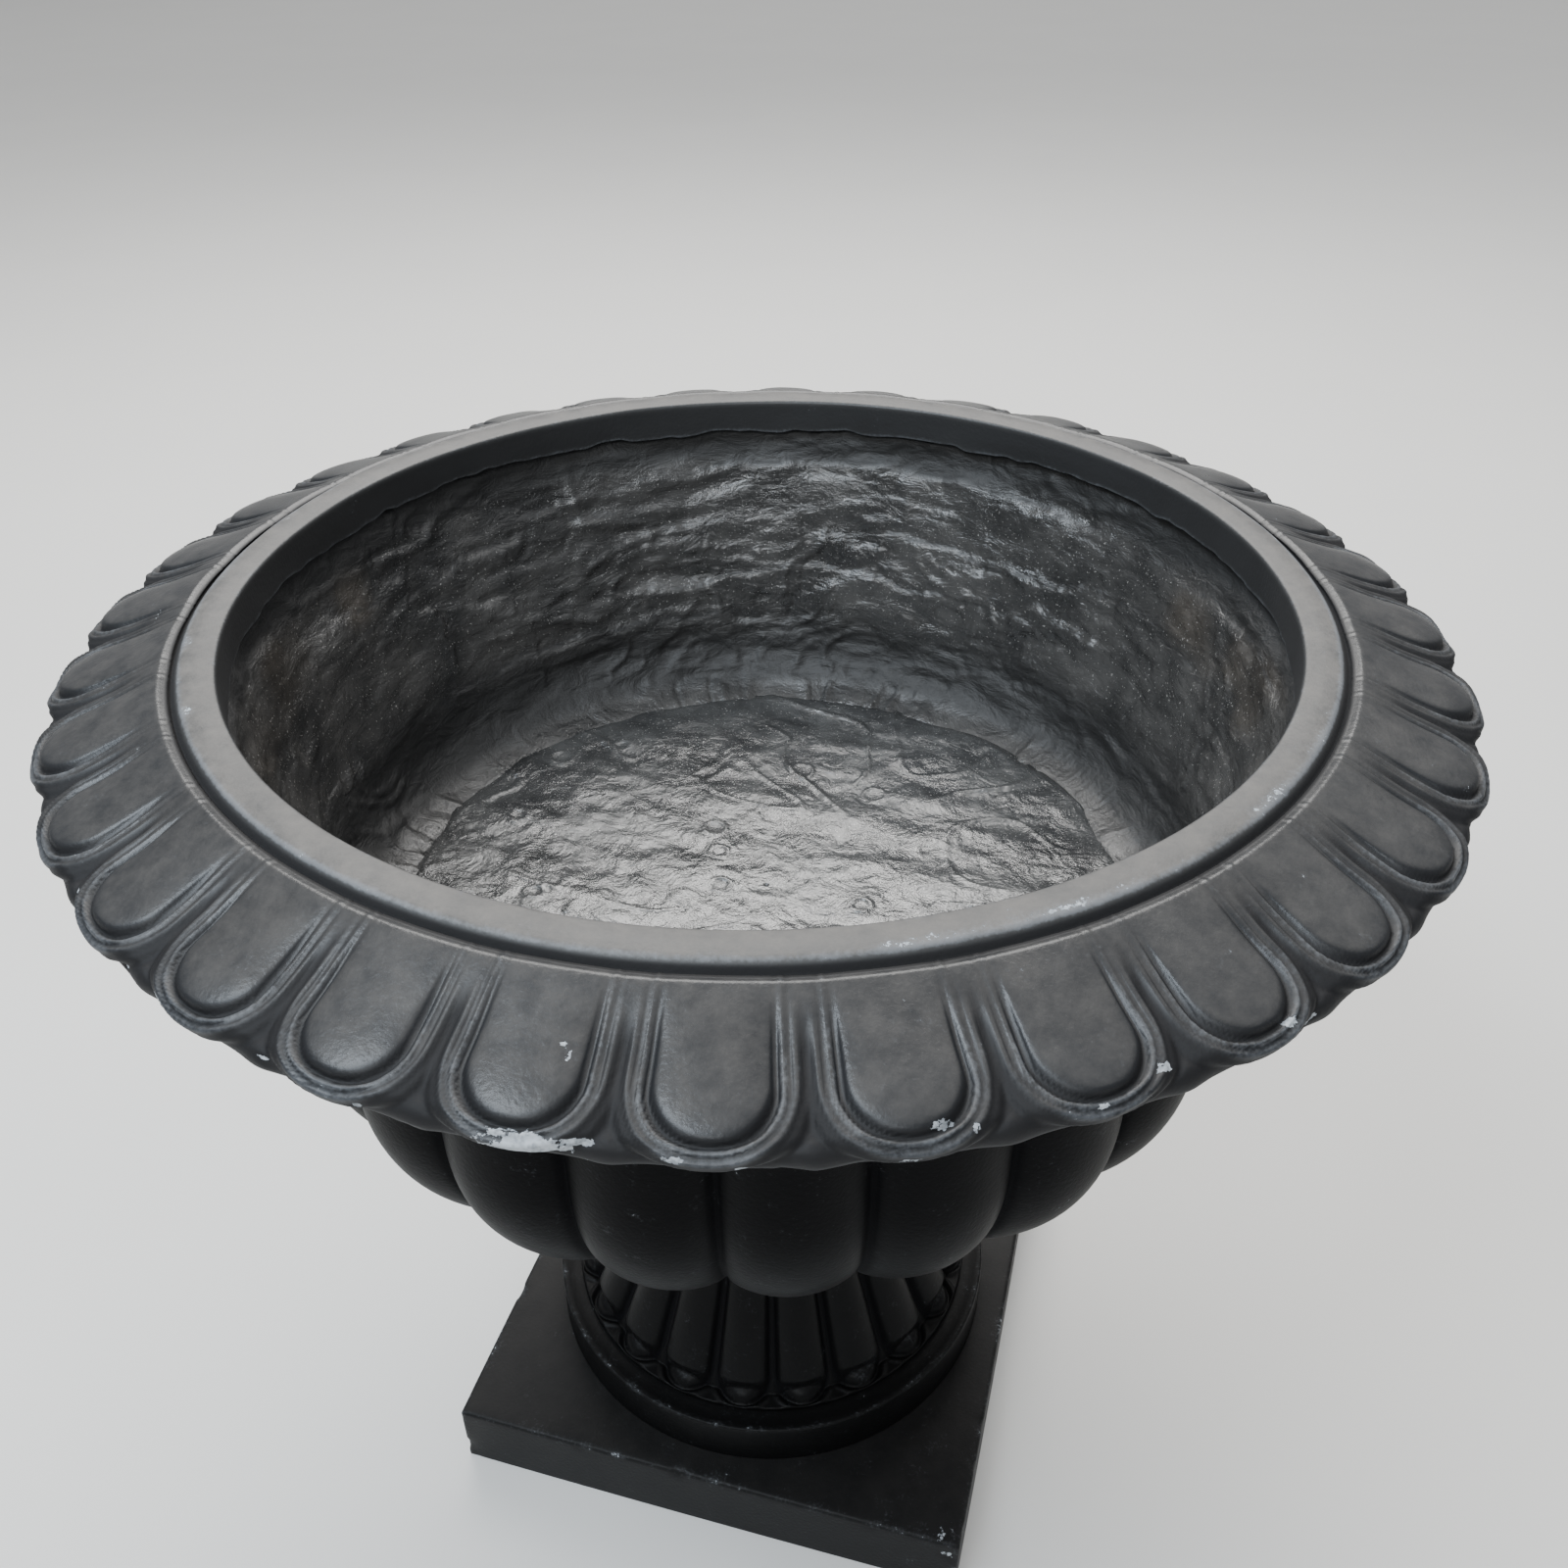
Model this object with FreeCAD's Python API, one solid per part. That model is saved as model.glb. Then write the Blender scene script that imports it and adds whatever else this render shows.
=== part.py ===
import FreeCAD, Part
import math
import os

from FreeCAD import Vector

# Urn planter on a square plinth. Millimetres, +Z up, origin on the floor at the plinth's centre.
# The laid-up shells are stacked on one another, so every height follows from the pieces below it.

# Square plinth, a shallow tray turned upside down, wider than the disc by a margin all round
plinth_margin = 19.0
plinth_height = 50.0
plinth_wall = 12.0
plinth_panel = 10.0
plinth_edge_round = 2.0

# Round disc between the plinth and the fluted foot, with a ledge outside the foot's flange
disc_ledge = 12.0
disc_height = 32.0
disc_wall = 9.0
disc_edge_round = 1.5

# Fluted foot, a ring of tongues that spreads from the neck down to the disc
tongue_count = 20
tongue_gap_angle = 16.3
foot_height = 158.0
foot_base_radius = 134.0
foot_neck_radius = 67.0
foot_spread_power = 1.1
tongue_depth_base = 7.0
tongue_depth_neck = 4.0
foot_wall = 8.0
foot_sections = 8
foot_flange_margin = 4.0
foot_flange_height = 2.5

# Collar, the bead between the foot and the bowl, set in a little from the foot's neck
collar_height = 37.0
collar_set_in = 1.0
collar_bead_out = 14.0
collar_bead_rounding = 3.0
collar_wall = 22.0

# Outer bowl with its ring of lobes
lobe_count = 24
lobe_valley_angle = 11.5
lobe_depth = 10.0
bowl_radius = 272.0
bowl_belly_depth = 164.0
bowl_roundness = 2.3
bowl_seat_margin = 8.0
bowl_belly_rise = 43.0
bowl_throat_height = 108.0
bowl_flare = 18.0
bowl_wall = 7.0
lobe_fade_start = 30.0
lobe_fade_length = 75.0
bowl_sections_below = 9
bowl_sections_above = 7

# Laid lining inside the bowl, and the floor laid on its shelf
lining_wall = 6.0
lining_belly_wall = 10.0
lining_flare_rise = 5.0
floor_depth = 183.0
floor_thickness = 6.0
cove_height = 36.0
cove_reach = 31.0
cove_low_reach_share = 0.48
cove_low_height_share = 0.2
cove_high_reach_share = 0.8
cove_high_height_share = 0.55
cove_top_share = 0.8
shelf_width = 21.0
shelf_thickness = 5.0

# Rim moulding: bead, lip returned inside the lining, and a ring of drooping petals
petal_count = 32
petal_gap_angle = 7.85
groove_height = 13.0
groove_width = 4.5
groove_depth = 2.5
groove_bevel = 4.0
bead_height = 1.8
bead_crown_set_in = 13.0
bead_shoulder_width = 3.0
bead_shoulder_drop = 0.2
bead_edge_drop = 1.0
lip_clearance = 4.0
lip_thickness = 6.0
lip_drop = 6.0
lip_batter = 1.0
rim_ring_overlap = 5.0
petal_reach = 67.0
petal_set_down = 0.4
petal_slope = 17.5
petal_nose_radius = 13.0
petal_nose_turn = 130.0
petal_web_depth = 6.0
petal_web_start_share = 0.35
petal_thickness = 8.0
petal_under_relief = 0.6
petal_points_across = 9
petal_points_along = 13

# Hidden centre fixing that draws the bowl, foot and plinth together
rod_radius = 6.0
rod_clearance = 1.0
rod_end_length = 4.0
plate_set_in = 19.0
plate_thickness = 6.0
washer_radius = 18.5
washer_thickness = 3.0
nut_across_flats = 19.0
nut_height = 10.0

# Widths that follow from the piece below or outside
foot_flange_radius = foot_base_radius + foot_flange_margin
disc_radius = foot_flange_radius + disc_ledge
plinth_side = 2.0 * (disc_radius + plinth_margin)
collar_end_radius = foot_neck_radius - collar_set_in
collar_bead_radius = collar_end_radius + collar_bead_out
collar_bore_radius = collar_end_radius - collar_wall
bowl_seat_radius = collar_end_radius + bowl_seat_margin
bowl_throat_radius = bowl_radius + bowl_flare
bowl_hollow_radius = bowl_radius - lobe_depth - bowl_wall
lining_mouth_radius = bowl_throat_radius - bowl_wall - lining_wall
lining_belly_radius = bowl_hollow_radius - lining_belly_wall
floor_radius = lining_belly_radius - cove_reach
groove_radius = bowl_throat_radius
lip_outer_radius = lining_mouth_radius - lip_clearance
lip_radius = lip_outer_radius - lip_thickness
bead_crown_radius = groove_radius - bead_crown_set_in
plate_radius = bowl_seat_radius - plate_set_in
rod_hole_radius = rod_radius + rod_clearance


def belly_start(radius):
    """Turn from the centre line, in radians, at which the belly's curve has come out to the seat."""
    return math.asin((bowl_seat_radius / radius) ** (bowl_roundness / 2.0))


def belly_drop(depth, turn):
    """How far the belly lies below its widest ring at a turn from the centre line."""
    return depth * abs(math.cos(turn)) ** (2.0 / bowl_roundness)


# Heights of the joints between the stacked pieces
disc_base = plinth_height
foot_base = disc_base + disc_height
collar_base = foot_base + foot_height
bowl_base = collar_base + collar_height
bowl_centre = bowl_base + belly_drop(bowl_belly_depth, belly_start(bowl_radius))
bowl_floor = bowl_centre - belly_drop(bowl_belly_depth - bowl_wall, belly_start(bowl_hollow_radius))
rim_base = bowl_centre + bowl_belly_rise + bowl_throat_height
floor_top = rim_base - floor_depth

UP = Vector(0, 0, 1)


def on_circle(radius, angle, height):
    """Point at a radius and an angle in radians, at a height."""
    return Vector(radius * math.cos(angle), radius * math.sin(angle), height)


def blend(amount):
    """Smooth step from 0 to 1."""
    amount = min(max(amount, 0.0), 1.0)
    return amount * amount * (3.0 - 2.0 * amount)


def cylinder(radius, base, height):
    """Upright cylinder on the centre line."""
    return Part.makeCylinder(radius, height, Vector(0, 0, base), UP)


def spin(outline):
    """Solid of revolution about the vertical axis from a closed list of edges."""
    face = Part.Face(Part.Wire(outline))
    return face.revolve(Vector(0, 0, 0), UP, 360)


def line(start, end):
    """Straight profile edge between two (radius, height) pairs."""
    return Part.makeLine(Vector(start[0], 0, start[1]), Vector(end[0], 0, end[1]))


def curve(points):
    """Smooth profile edge through (radius, height) pairs."""
    spline = Part.BSplineCurve()
    spline.interpolate([Vector(radius, 0, height) for radius, height in points])
    return spline.toShape()


def lobed_outline(radius, depth, count, first_valley, height):
    """Closed ring of outward arcs that meet in sharp valleys."""
    pitch = 2.0 * math.pi / count
    start = math.radians(first_valley)
    arcs = []
    for number in range(count):
        left = start + number * pitch
        arcs.append(Part.Arc(
            on_circle(radius - depth, left, height),
            on_circle(radius, left + pitch / 2.0, height),
            on_circle(radius - depth, left + pitch, height),
        ).toShape())
    return Part.Wire(arcs)


def plinth():
    """Upturned square tray with its hole for the rod."""
    half = plinth_side / 2.0
    body = Part.makeBox(plinth_side, plinth_side, plinth_height, Vector(-half, -half, 0))
    body = body.makeFillet(plinth_edge_round, body.Edges[:])
    inner = plinth_side - 2.0 * plinth_wall
    corner = Vector(-inner / 2.0, -inner / 2.0, 0)
    hollow = Part.makeBox(inner, inner, plinth_height - plinth_panel, corner)
    return body.cut([hollow, cylinder(rod_hole_radius, 0, plinth_height)])


def foot_disc():
    """Shallow round cap, open below."""
    body = cylinder(disc_radius, disc_base, disc_height)
    rims = [edge for edge in body.Edges if len(edge.Vertexes) == 1]
    upper = [edge for edge in rims if edge.BoundBox.ZMin > disc_base + disc_height / 2.0]
    body = body.makeFillet(disc_edge_round, upper)
    hollow = cylinder(disc_radius - disc_wall, disc_base, disc_height - disc_wall)
    return body.cut([hollow, cylinder(rod_hole_radius, disc_base, disc_height)])


def foot_radius(share):
    """Tongue crest radius at a share of the foot's height."""
    spread = (1.0 - share) ** foot_spread_power
    return foot_neck_radius + (foot_base_radius - foot_neck_radius) * spread


def foot_shell():
    """Ring of tongues over a hollow, closed by a panel at the neck."""
    outlines = []
    hollow_points = []
    for step in range(foot_sections):
        share = step / (foot_sections - 1.0)
        height = foot_base + share * foot_height
        depth = tongue_depth_base + share * (tongue_depth_neck - tongue_depth_base)
        radius = foot_radius(share)
        outlines.append(lobed_outline(radius, depth, tongue_count, tongue_gap_angle, height))
        hollow_points.append((radius - depth - foot_wall, height))
    body = Part.makeLoft(outlines, True, False)
    scallops = lobed_outline(
        foot_flange_radius, tongue_depth_base, tongue_count, tongue_gap_angle, foot_base)
    flange = Part.Face(scallops).extrude(Vector(0, 0, foot_flange_height))
    top = foot_base + foot_height
    hollow = spin([
        line((0, foot_base), hollow_points[0]),
        curve(hollow_points),
        line(hollow_points[-1], (0, top)),
        line((0, top), (0, foot_base)),
    ])
    hollow = hollow.common(cylinder(foot_base_radius, foot_base, foot_height - foot_wall))
    body = body.fuse(flange)
    return body.cut([hollow, cylinder(rod_hole_radius, foot_base, foot_height)])


def neck_collar():
    """Rounded ring that the bowl sits on."""
    top = collar_base + collar_height
    middle = collar_base + collar_height / 2.0
    quarter = collar_height / 4.0
    shoulder = collar_bead_radius - collar_bead_rounding
    outside = curve([
        (collar_end_radius, collar_base),
        (shoulder, middle - quarter),
        (collar_bead_radius, middle),
        (shoulder, middle + quarter),
        (collar_end_radius, top),
    ])
    return spin([
        outside,
        line((collar_end_radius, top), (collar_bore_radius, top)),
        line((collar_bore_radius, top), (collar_bore_radius, collar_base)),
        line((collar_bore_radius, collar_base), (collar_end_radius, collar_base)),
    ])


def belly(radius, depth, share):
    """(radius, height) on the belly's rounded lower half, from its seat at 0 to its widest at 1."""
    start = belly_start(radius)
    turn = start + share * (math.pi / 2.0 - start)
    out = radius * math.sin(turn) ** (2.0 / bowl_roundness)
    return out, bowl_centre - belly_drop(depth, turn)


def throat(share):
    """(radius, height) on the lobed wall above the belly, which flares out to the rim."""
    rise = share * (bowl_belly_rise + bowl_throat_height)
    flare = blend((rise - bowl_belly_rise) / bowl_throat_height)
    return bowl_radius + bowl_flare * flare, bowl_centre + rise


def belly_shares():
    """Even shares of the way up the belly, from 0 at the seat to 1 at its widest ring."""
    return [number / (bowl_sections_below - 1.0) for number in range(bowl_sections_below)]


def throat_shares():
    """Even shares of the way from the widest ring, which is left out, up to 1 at the rim."""
    return [number / bowl_sections_above for number in range(1, bowl_sections_above + 1)]


def bowl_profile():
    """List of (radius, height) up the lobes' crests from the bowl's seat to the rim."""
    below = [belly(bowl_radius, bowl_belly_depth, share) for share in belly_shares()]
    above = [throat(share) for share in throat_shares()]
    return below + above


def lobe_depth_at(radius, height):
    """Valley depth, which shrinks with the radius and fades out above the belly."""
    fade = 1.0 - blend((height - bowl_centre - lobe_fade_start) / lobe_fade_length)
    return lobe_depth * min(radius / bowl_radius, 1.0) * fade


def bowl_hollow():
    """Solid that fills the inside of the outer bowl, flat at the bottom and one wall inside the valleys."""
    points = []
    for share in belly_shares():
        points.append(belly(bowl_hollow_radius, bowl_belly_depth - bowl_wall, share))
    for share in throat_shares():
        radius, height = throat(share)
        points.append((radius - lobe_depth_at(radius, height) - bowl_wall, height))
    return spin([
        line((0, bowl_floor), points[0]),
        curve(points),
        line(points[-1], (0, rim_base)),
        line((0, rim_base), (0, bowl_floor)),
    ])


def bowl_shell():
    """Lobed outer bowl, open at the top."""
    outlines = []
    for radius, height in bowl_profile():
        depth = lobe_depth_at(radius, height)
        outlines.append(lobed_outline(radius, depth, lobe_count, lobe_valley_angle, height))
    body = Part.makeLoft(outlines, True, False)
    return body.cut([bowl_hollow(), cylinder(rod_hole_radius, bowl_base, bowl_belly_depth)])


def soil_wall(rise):
    """(radius, height) on the planting space's wall, which slopes out all the way up to the lip."""
    whole_rise = bowl_belly_rise + bowl_throat_height
    flare = blend((rise - lining_flare_rise) / (whole_rise - lining_flare_rise))
    radius = lining_belly_radius + (lining_mouth_radius - lining_belly_radius) * flare
    return radius, bowl_centre + rise


def soil_hollow():
    """Solid that fills the planting space down to the floor, with the shelf's step below it."""
    whole_rise = bowl_belly_rise + bowl_throat_height
    wall = [soil_wall(share * whole_rise) for share in [0.0] + throat_shares()]
    low_radius = floor_radius + cove_low_reach_share * cove_reach
    high_radius = floor_radius + cove_high_reach_share * cove_reach
    cove = [
        (floor_radius, floor_top),
        (low_radius, floor_top + cove_low_height_share * cove_height),
        (high_radius, floor_top + cove_high_height_share * cove_height),
    ]
    shelf = floor_top - floor_thickness
    hole_radius = floor_radius - shelf_width
    below = shelf - shelf_thickness
    cove_top = floor_top + cove_top_share * cove_height
    points = cove + [point for point in wall if point[1] > cove_top]
    return spin([
        line((0, below), (hole_radius, below)),
        line((hole_radius, below), (hole_radius, shelf)),
        line((hole_radius, shelf), (floor_radius, shelf)),
        line((floor_radius, shelf), points[0]),
        curve(points),
        line(points[-1], (0, rim_base)),
        line((0, rim_base), (0, below)),
    ])


def bowl_lining():
    """Laid-up inner wall with a shelf for the floor."""
    below = floor_top - floor_thickness - shelf_thickness
    slab = cylinder(bowl_throat_radius, below, rim_base - below)
    return bowl_hollow().common(slab).cut(soil_hollow())


def floor_panel():
    """Round floor laid on the lining's shelf."""
    return cylinder(floor_radius, floor_top - floor_thickness, floor_thickness)


def rim_ring():
    """Flat bead with its returned lip and the groove outside it, a plain ring."""
    groove = rim_base + groove_height
    crown = groove + bead_height
    outer = groove_radius + rim_ring_overlap
    bevel = (outer, groove - groove_bevel)
    groove_outer = (groove_radius, groove)
    groove_bottom = (groove_radius - groove_width / 2.0, groove - groove_depth)
    bead_edge = (groove_radius - groove_width, crown - bead_edge_drop)
    lip_edge = (lip_radius + lip_batter, crown - bead_edge_drop)
    lip_foot = (lip_radius - lip_batter, rim_base - lip_drop)
    lip_back = (lip_outer_radius, rim_base - lip_drop)
    over = curve([
        bead_edge,
        (bead_edge[0] - bead_shoulder_width, crown - bead_shoulder_drop),
        (bead_crown_radius, crown),
        (lip_edge[0] + bead_shoulder_width, crown - bead_shoulder_drop),
        lip_edge,
    ])
    return spin([
        line((lip_outer_radius, rim_base), (outer, rim_base)),
        line((outer, rim_base), bevel),
        line(bevel, groove_outer),
        line(groove_outer, groove_bottom),
        line(groove_bottom, bead_edge),
        over,
        line(lip_edge, lip_foot),
        line(lip_foot, lip_back),
        line(lip_back, (lip_outer_radius, rim_base)),
    ])


def petal_course(along):
    """(radius, height, lean) at a share of the petal's length: a cone off the groove, then a rolled nose."""
    slope = math.radians(petal_slope)
    nose_turn = math.radians(petal_nose_turn) - slope
    nose_centre = groove_radius + petal_reach - petal_nose_radius
    cone_length = (nose_centre + petal_nose_radius * math.sin(slope) - groove_radius) / math.cos(slope)
    run = along * (cone_length + petal_nose_radius * nose_turn)
    on_cone = min(run, cone_length)
    lean = slope + (run - on_cone) / petal_nose_radius
    radius = groove_radius + on_cone * math.cos(slope)
    height = rim_base + groove_height - petal_set_down - on_cone * math.sin(slope)
    radius += petal_nose_radius * (math.sin(lean) - math.sin(slope))
    height -= petal_nose_radius * (math.cos(slope) - math.cos(lean))
    return radius, height, lean


def petal_point(across, along, under):
    """Point on one petal: across runs -1 to 1 between gaps, along 0 to 1 from bead to tip."""
    radius, height, lean = petal_course(along)
    gap = across * across
    if under:
        gap = gap * petal_under_relief
    sunk = petal_web_depth * gap * blend(along / petal_web_start_share)
    if under:
        sunk += petal_thickness
    angle = across * math.pi / petal_count
    return on_circle(radius - sunk * math.sin(lean), angle, height - sunk * math.cos(lean))


def petal_sheet(under):
    """One petal's upper or lower face."""
    rows = []
    for step in range(petal_points_along):
        along = step / (petal_points_along - 1.0)
        row = []
        for column in range(petal_points_across):
            across = 2.0 * column / (petal_points_across - 1.0) - 1.0
            row.append(petal_point(across, along, under))
        rows.append(row)
    surface = Part.BSplineSurface()
    surface.interpolate(rows)
    return surface


def petal_faces():
    """The four faces of one petal that stay open where it meets its neighbours."""
    upper = petal_sheet(False)
    lower = petal_sheet(True)
    faces = [upper.toShape(), lower.toShape()]
    first, last = upper.bounds()[0], upper.bounds()[1]
    for end in (first, last):
        faces.append(Part.makeRuledSurface(upper.uIso(end).toShape(), lower.uIso(end).toShape()))
    return faces


def rim_moulding():
    """Ring of petals joined to the bead and lip."""
    pitch = 360.0 / petal_count
    one = petal_faces()
    faces = []
    for number in range(petal_count):
        turn = petal_gap_angle + (number + 0.5) * pitch
        for face in one:
            copy = face.copy()
            copy.rotate(Vector(0, 0, 0), UP, turn)
            faces.append(copy)
    shell = Part.makeShell(faces)
    shell.sewShape()
    skirt = Part.makeSolid(shell)
    if skirt.Volume < 0:
        skirt.reverse()
    return rim_ring().fuse(skirt)


def tie_rod():
    """Threaded rod up the centre line."""
    stack = plate_thickness + washer_thickness + nut_height + rod_end_length
    bottom = plinth_height - plinth_panel - stack
    top = bowl_floor + stack
    return cylinder(rod_radius, bottom, top - bottom)


def spreader_plate(base):
    """Round plate with the rod's hole."""
    hole = cylinder(rod_hole_radius, base, plate_thickness)
    return cylinder(plate_radius, base, plate_thickness).cut(hole)


def top_plate():
    """Plate on the bowl's floor."""
    return spreader_plate(bowl_floor)


def bottom_plate():
    """Plate under the plinth's panel."""
    return spreader_plate(plinth_height - plinth_panel - plate_thickness)


def ring_washer(base):
    """Plain washer with the rod's hole."""
    hole = cylinder(rod_hole_radius, base, washer_thickness)
    return cylinder(washer_radius, base, washer_thickness).cut(hole)


def tie_washers():
    """One washer under each nut."""
    upper = ring_washer(bowl_floor + plate_thickness)
    lower = ring_washer(plinth_height - plinth_panel - plate_thickness - washer_thickness)
    return Part.makeCompound([upper, lower])


def hex_nut(base):
    """Six-sided nut whose thread is taken as the rod's own size."""
    corner = nut_across_flats / 2.0 / math.cos(math.pi / 6.0)
    corners = [on_circle(corner, math.radians(60 * n), base) for n in range(7)]
    body = Part.Face(Part.makePolygon(corners)).extrude(Vector(0, 0, nut_height))
    return body.cut(cylinder(rod_radius, base, nut_height))


def tie_nuts():
    """Top and bottom nuts."""
    stack = plate_thickness + washer_thickness
    upper = hex_nut(bowl_floor + stack)
    lower = hex_nut(plinth_height - plinth_panel - stack - nut_height)
    return Part.makeCompound([upper, lower])


pieces = {
    "rim_moulding": rim_moulding,
    "bowl_shell": bowl_shell,
    "bowl_lining": bowl_lining,
    "floor_panel": floor_panel,
    "neck_collar": neck_collar,
    "foot_shell": foot_shell,
    "foot_disc": foot_disc,
    "plinth": plinth,
    "tie_rod": tie_rod,
    "top_plate": top_plate,
    "bottom_plate": bottom_plate,
    "tie_washers": tie_washers,
    "tie_nuts": tie_nuts,
}

os.makedirs("parts", exist_ok=True)
for name, make in pieces.items():
    shape = make()
    shape.exportStep("parts/" + name + ".step")
    print(name, shape.isValid(), len(shape.Solids), len(shape.Faces), round(shape.Volume / 1000.0, 1))
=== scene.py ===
import math

import bpy
import numpy as np
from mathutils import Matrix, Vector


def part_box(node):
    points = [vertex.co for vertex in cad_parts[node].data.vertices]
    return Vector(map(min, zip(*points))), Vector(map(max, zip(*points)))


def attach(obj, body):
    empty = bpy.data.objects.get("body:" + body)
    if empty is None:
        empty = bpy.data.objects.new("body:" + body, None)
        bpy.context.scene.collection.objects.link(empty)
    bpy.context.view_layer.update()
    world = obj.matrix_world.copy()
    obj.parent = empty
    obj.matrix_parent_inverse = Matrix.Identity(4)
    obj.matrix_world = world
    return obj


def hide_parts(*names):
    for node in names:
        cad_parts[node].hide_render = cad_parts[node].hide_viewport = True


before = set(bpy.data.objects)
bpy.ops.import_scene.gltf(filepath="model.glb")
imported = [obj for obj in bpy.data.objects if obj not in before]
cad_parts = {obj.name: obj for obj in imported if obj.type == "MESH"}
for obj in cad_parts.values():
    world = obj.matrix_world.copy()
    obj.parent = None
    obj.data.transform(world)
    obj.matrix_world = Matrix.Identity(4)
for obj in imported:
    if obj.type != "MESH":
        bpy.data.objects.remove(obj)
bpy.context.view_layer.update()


# ----------------------------------------
# Square plinth. A shallow upturned tray of painted laminate with a panel about
# 10 mm thick. Its arrises have rubbed, and the corner nearest the path is chipped.
# ----------------------------------------

MM = 0.001
TURN = 2.0 * math.pi


def smooth(low, high, values):
    """0 below low, 1 above high, an S-curve between."""
    share = np.clip((values - low) / (high - low), 0.0, 1.0)
    return share * share * (3.0 - 2.0 * share)


def hump(distance, width):
    """Bell curve: 1 at distance 0, falling to about a third at one width."""
    return np.exp(-(distance / width) ** 2)


def noise(points, cell, seed):
    """Soft noise from -1 to 1: random values at the corners of cubes, blended across each cube."""
    values = np.random.default_rng(seed).uniform(-1.0, 1.0, (32, 32, 32))
    place = points / cell + 64.0
    corner = np.floor(place).astype(int)
    share = place - corner
    share = share * share * (3.0 - 2.0 * share)
    total = np.zeros(points.shape[:-1])
    for step in np.ndindex(2, 2, 2):
        weight = np.where(np.array(step) == 1, share, 1.0 - share).prod(axis=-1)
        at = (corner + step) % 32
        total += weight * values[at[..., 0], at[..., 1], at[..., 2]]
    return total


def outline(corners, radii, step):
    """Closed outline through (radius, height) corners, with straights cut to a step.

    Each corner is rounded by its own radius: (1 - t)^2 start + 2 t (1 - t) corner + t^2 end."""
    corners = np.array(corners, float)
    radii = np.array(radii, float)
    back = np.roll(corners, 1, axis=0) - corners
    ahead = np.roll(corners, -1, axis=0) - corners
    back_length = np.linalg.norm(back, axis=1)
    ahead_length = np.linalg.norm(ahead, axis=1)
    cut = np.minimum(radii, 0.45 * np.minimum(back_length, ahead_length))[:, None]
    start = (corners + back / back_length[:, None] * cut)[:, None]
    end = (corners + ahead / ahead_length[:, None] * cut)[:, None]
    t = np.linspace(0.0, 1.0, 7)[None, :, None]
    bends = (1 - t) ** 2 * start + 2 * t * (1 - t) * corners[:, None] + t**2 * end
    path = bends.reshape(-1, 2)
    onward = np.roll(path, -1, axis=0) - path
    pieces = np.maximum(np.ceil(np.linalg.norm(onward, axis=1) / step).astype(int), 1)
    number = np.arange(pieces.sum()) - np.repeat(np.cumsum(pieces) - pieces, pieces)
    along = (number / np.repeat(pieces, pieces))[:, None]
    points = np.repeat(path, pieces, axis=0) + along * np.repeat(onward, pieces, axis=0)
    return points[:, 0], points[:, 1]


def closed_grid(name, points, **masks):
    """Mesh of quads on a grid of points (around, along, 3), in millimetres, that closes on itself both ways.

    Faces look outwards where the second direction runs anticlockwise in (radius, height).
    Each mask is one number per point and becomes a point attribute of that name."""
    around, along = points.shape[:2]
    index = np.arange(around * along).reshape(around, along)
    beside = np.roll(index, -1, axis=0)
    quads = np.stack([index, beside, np.roll(beside, -1, axis=1), np.roll(index, -1, axis=1)], axis=-1)
    mesh = bpy.data.meshes.new(name)
    mesh.from_pydata((points * MM).reshape(-1, 3), [], quads.reshape(-1, 4))
    mesh.polygons.foreach_set("use_smooth", np.ones(len(mesh.polygons), bool))
    for mask, values in masks.items():
        layer = mesh.attributes.new(mask, "FLOAT", "POINT")
        layer.data.foreach_set("value", np.broadcast_to(values, (around, along)).astype(np.float32).ravel())
    piece = bpy.data.objects.new(name, mesh)
    bpy.context.scene.collection.objects.link(piece)
    return piece


def size_mm(node):
    """Half width and the lowest and highest heights of a CAD node, in millimetres."""
    low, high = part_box(node)
    return high.x / MM, low.z / MM, high.z / MM


def stand(piece, slot, *nodes):
    """The piece stands for these nodes on the one body. The slot is not used."""
    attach(piece, "root")
    if nodes:
        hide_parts(*nodes)


plinth_half, plinth_bottom, plinth_top = size_mm("plinth")
PLINTH_WALL = 12.0
PLINTH_PANEL = 10.0
ROD_HOLE = 7.0
PLINTH_ROUND = 3.0
PLINTH_COLUMNS = 560
PLINTH_STEP = 4.0
PLINTH_WAVER = 0.35
NICK_DEPTH = 1.2
KNOCK_DEPTH = 2.2
KNOCK_REACH = 22.0


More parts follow.
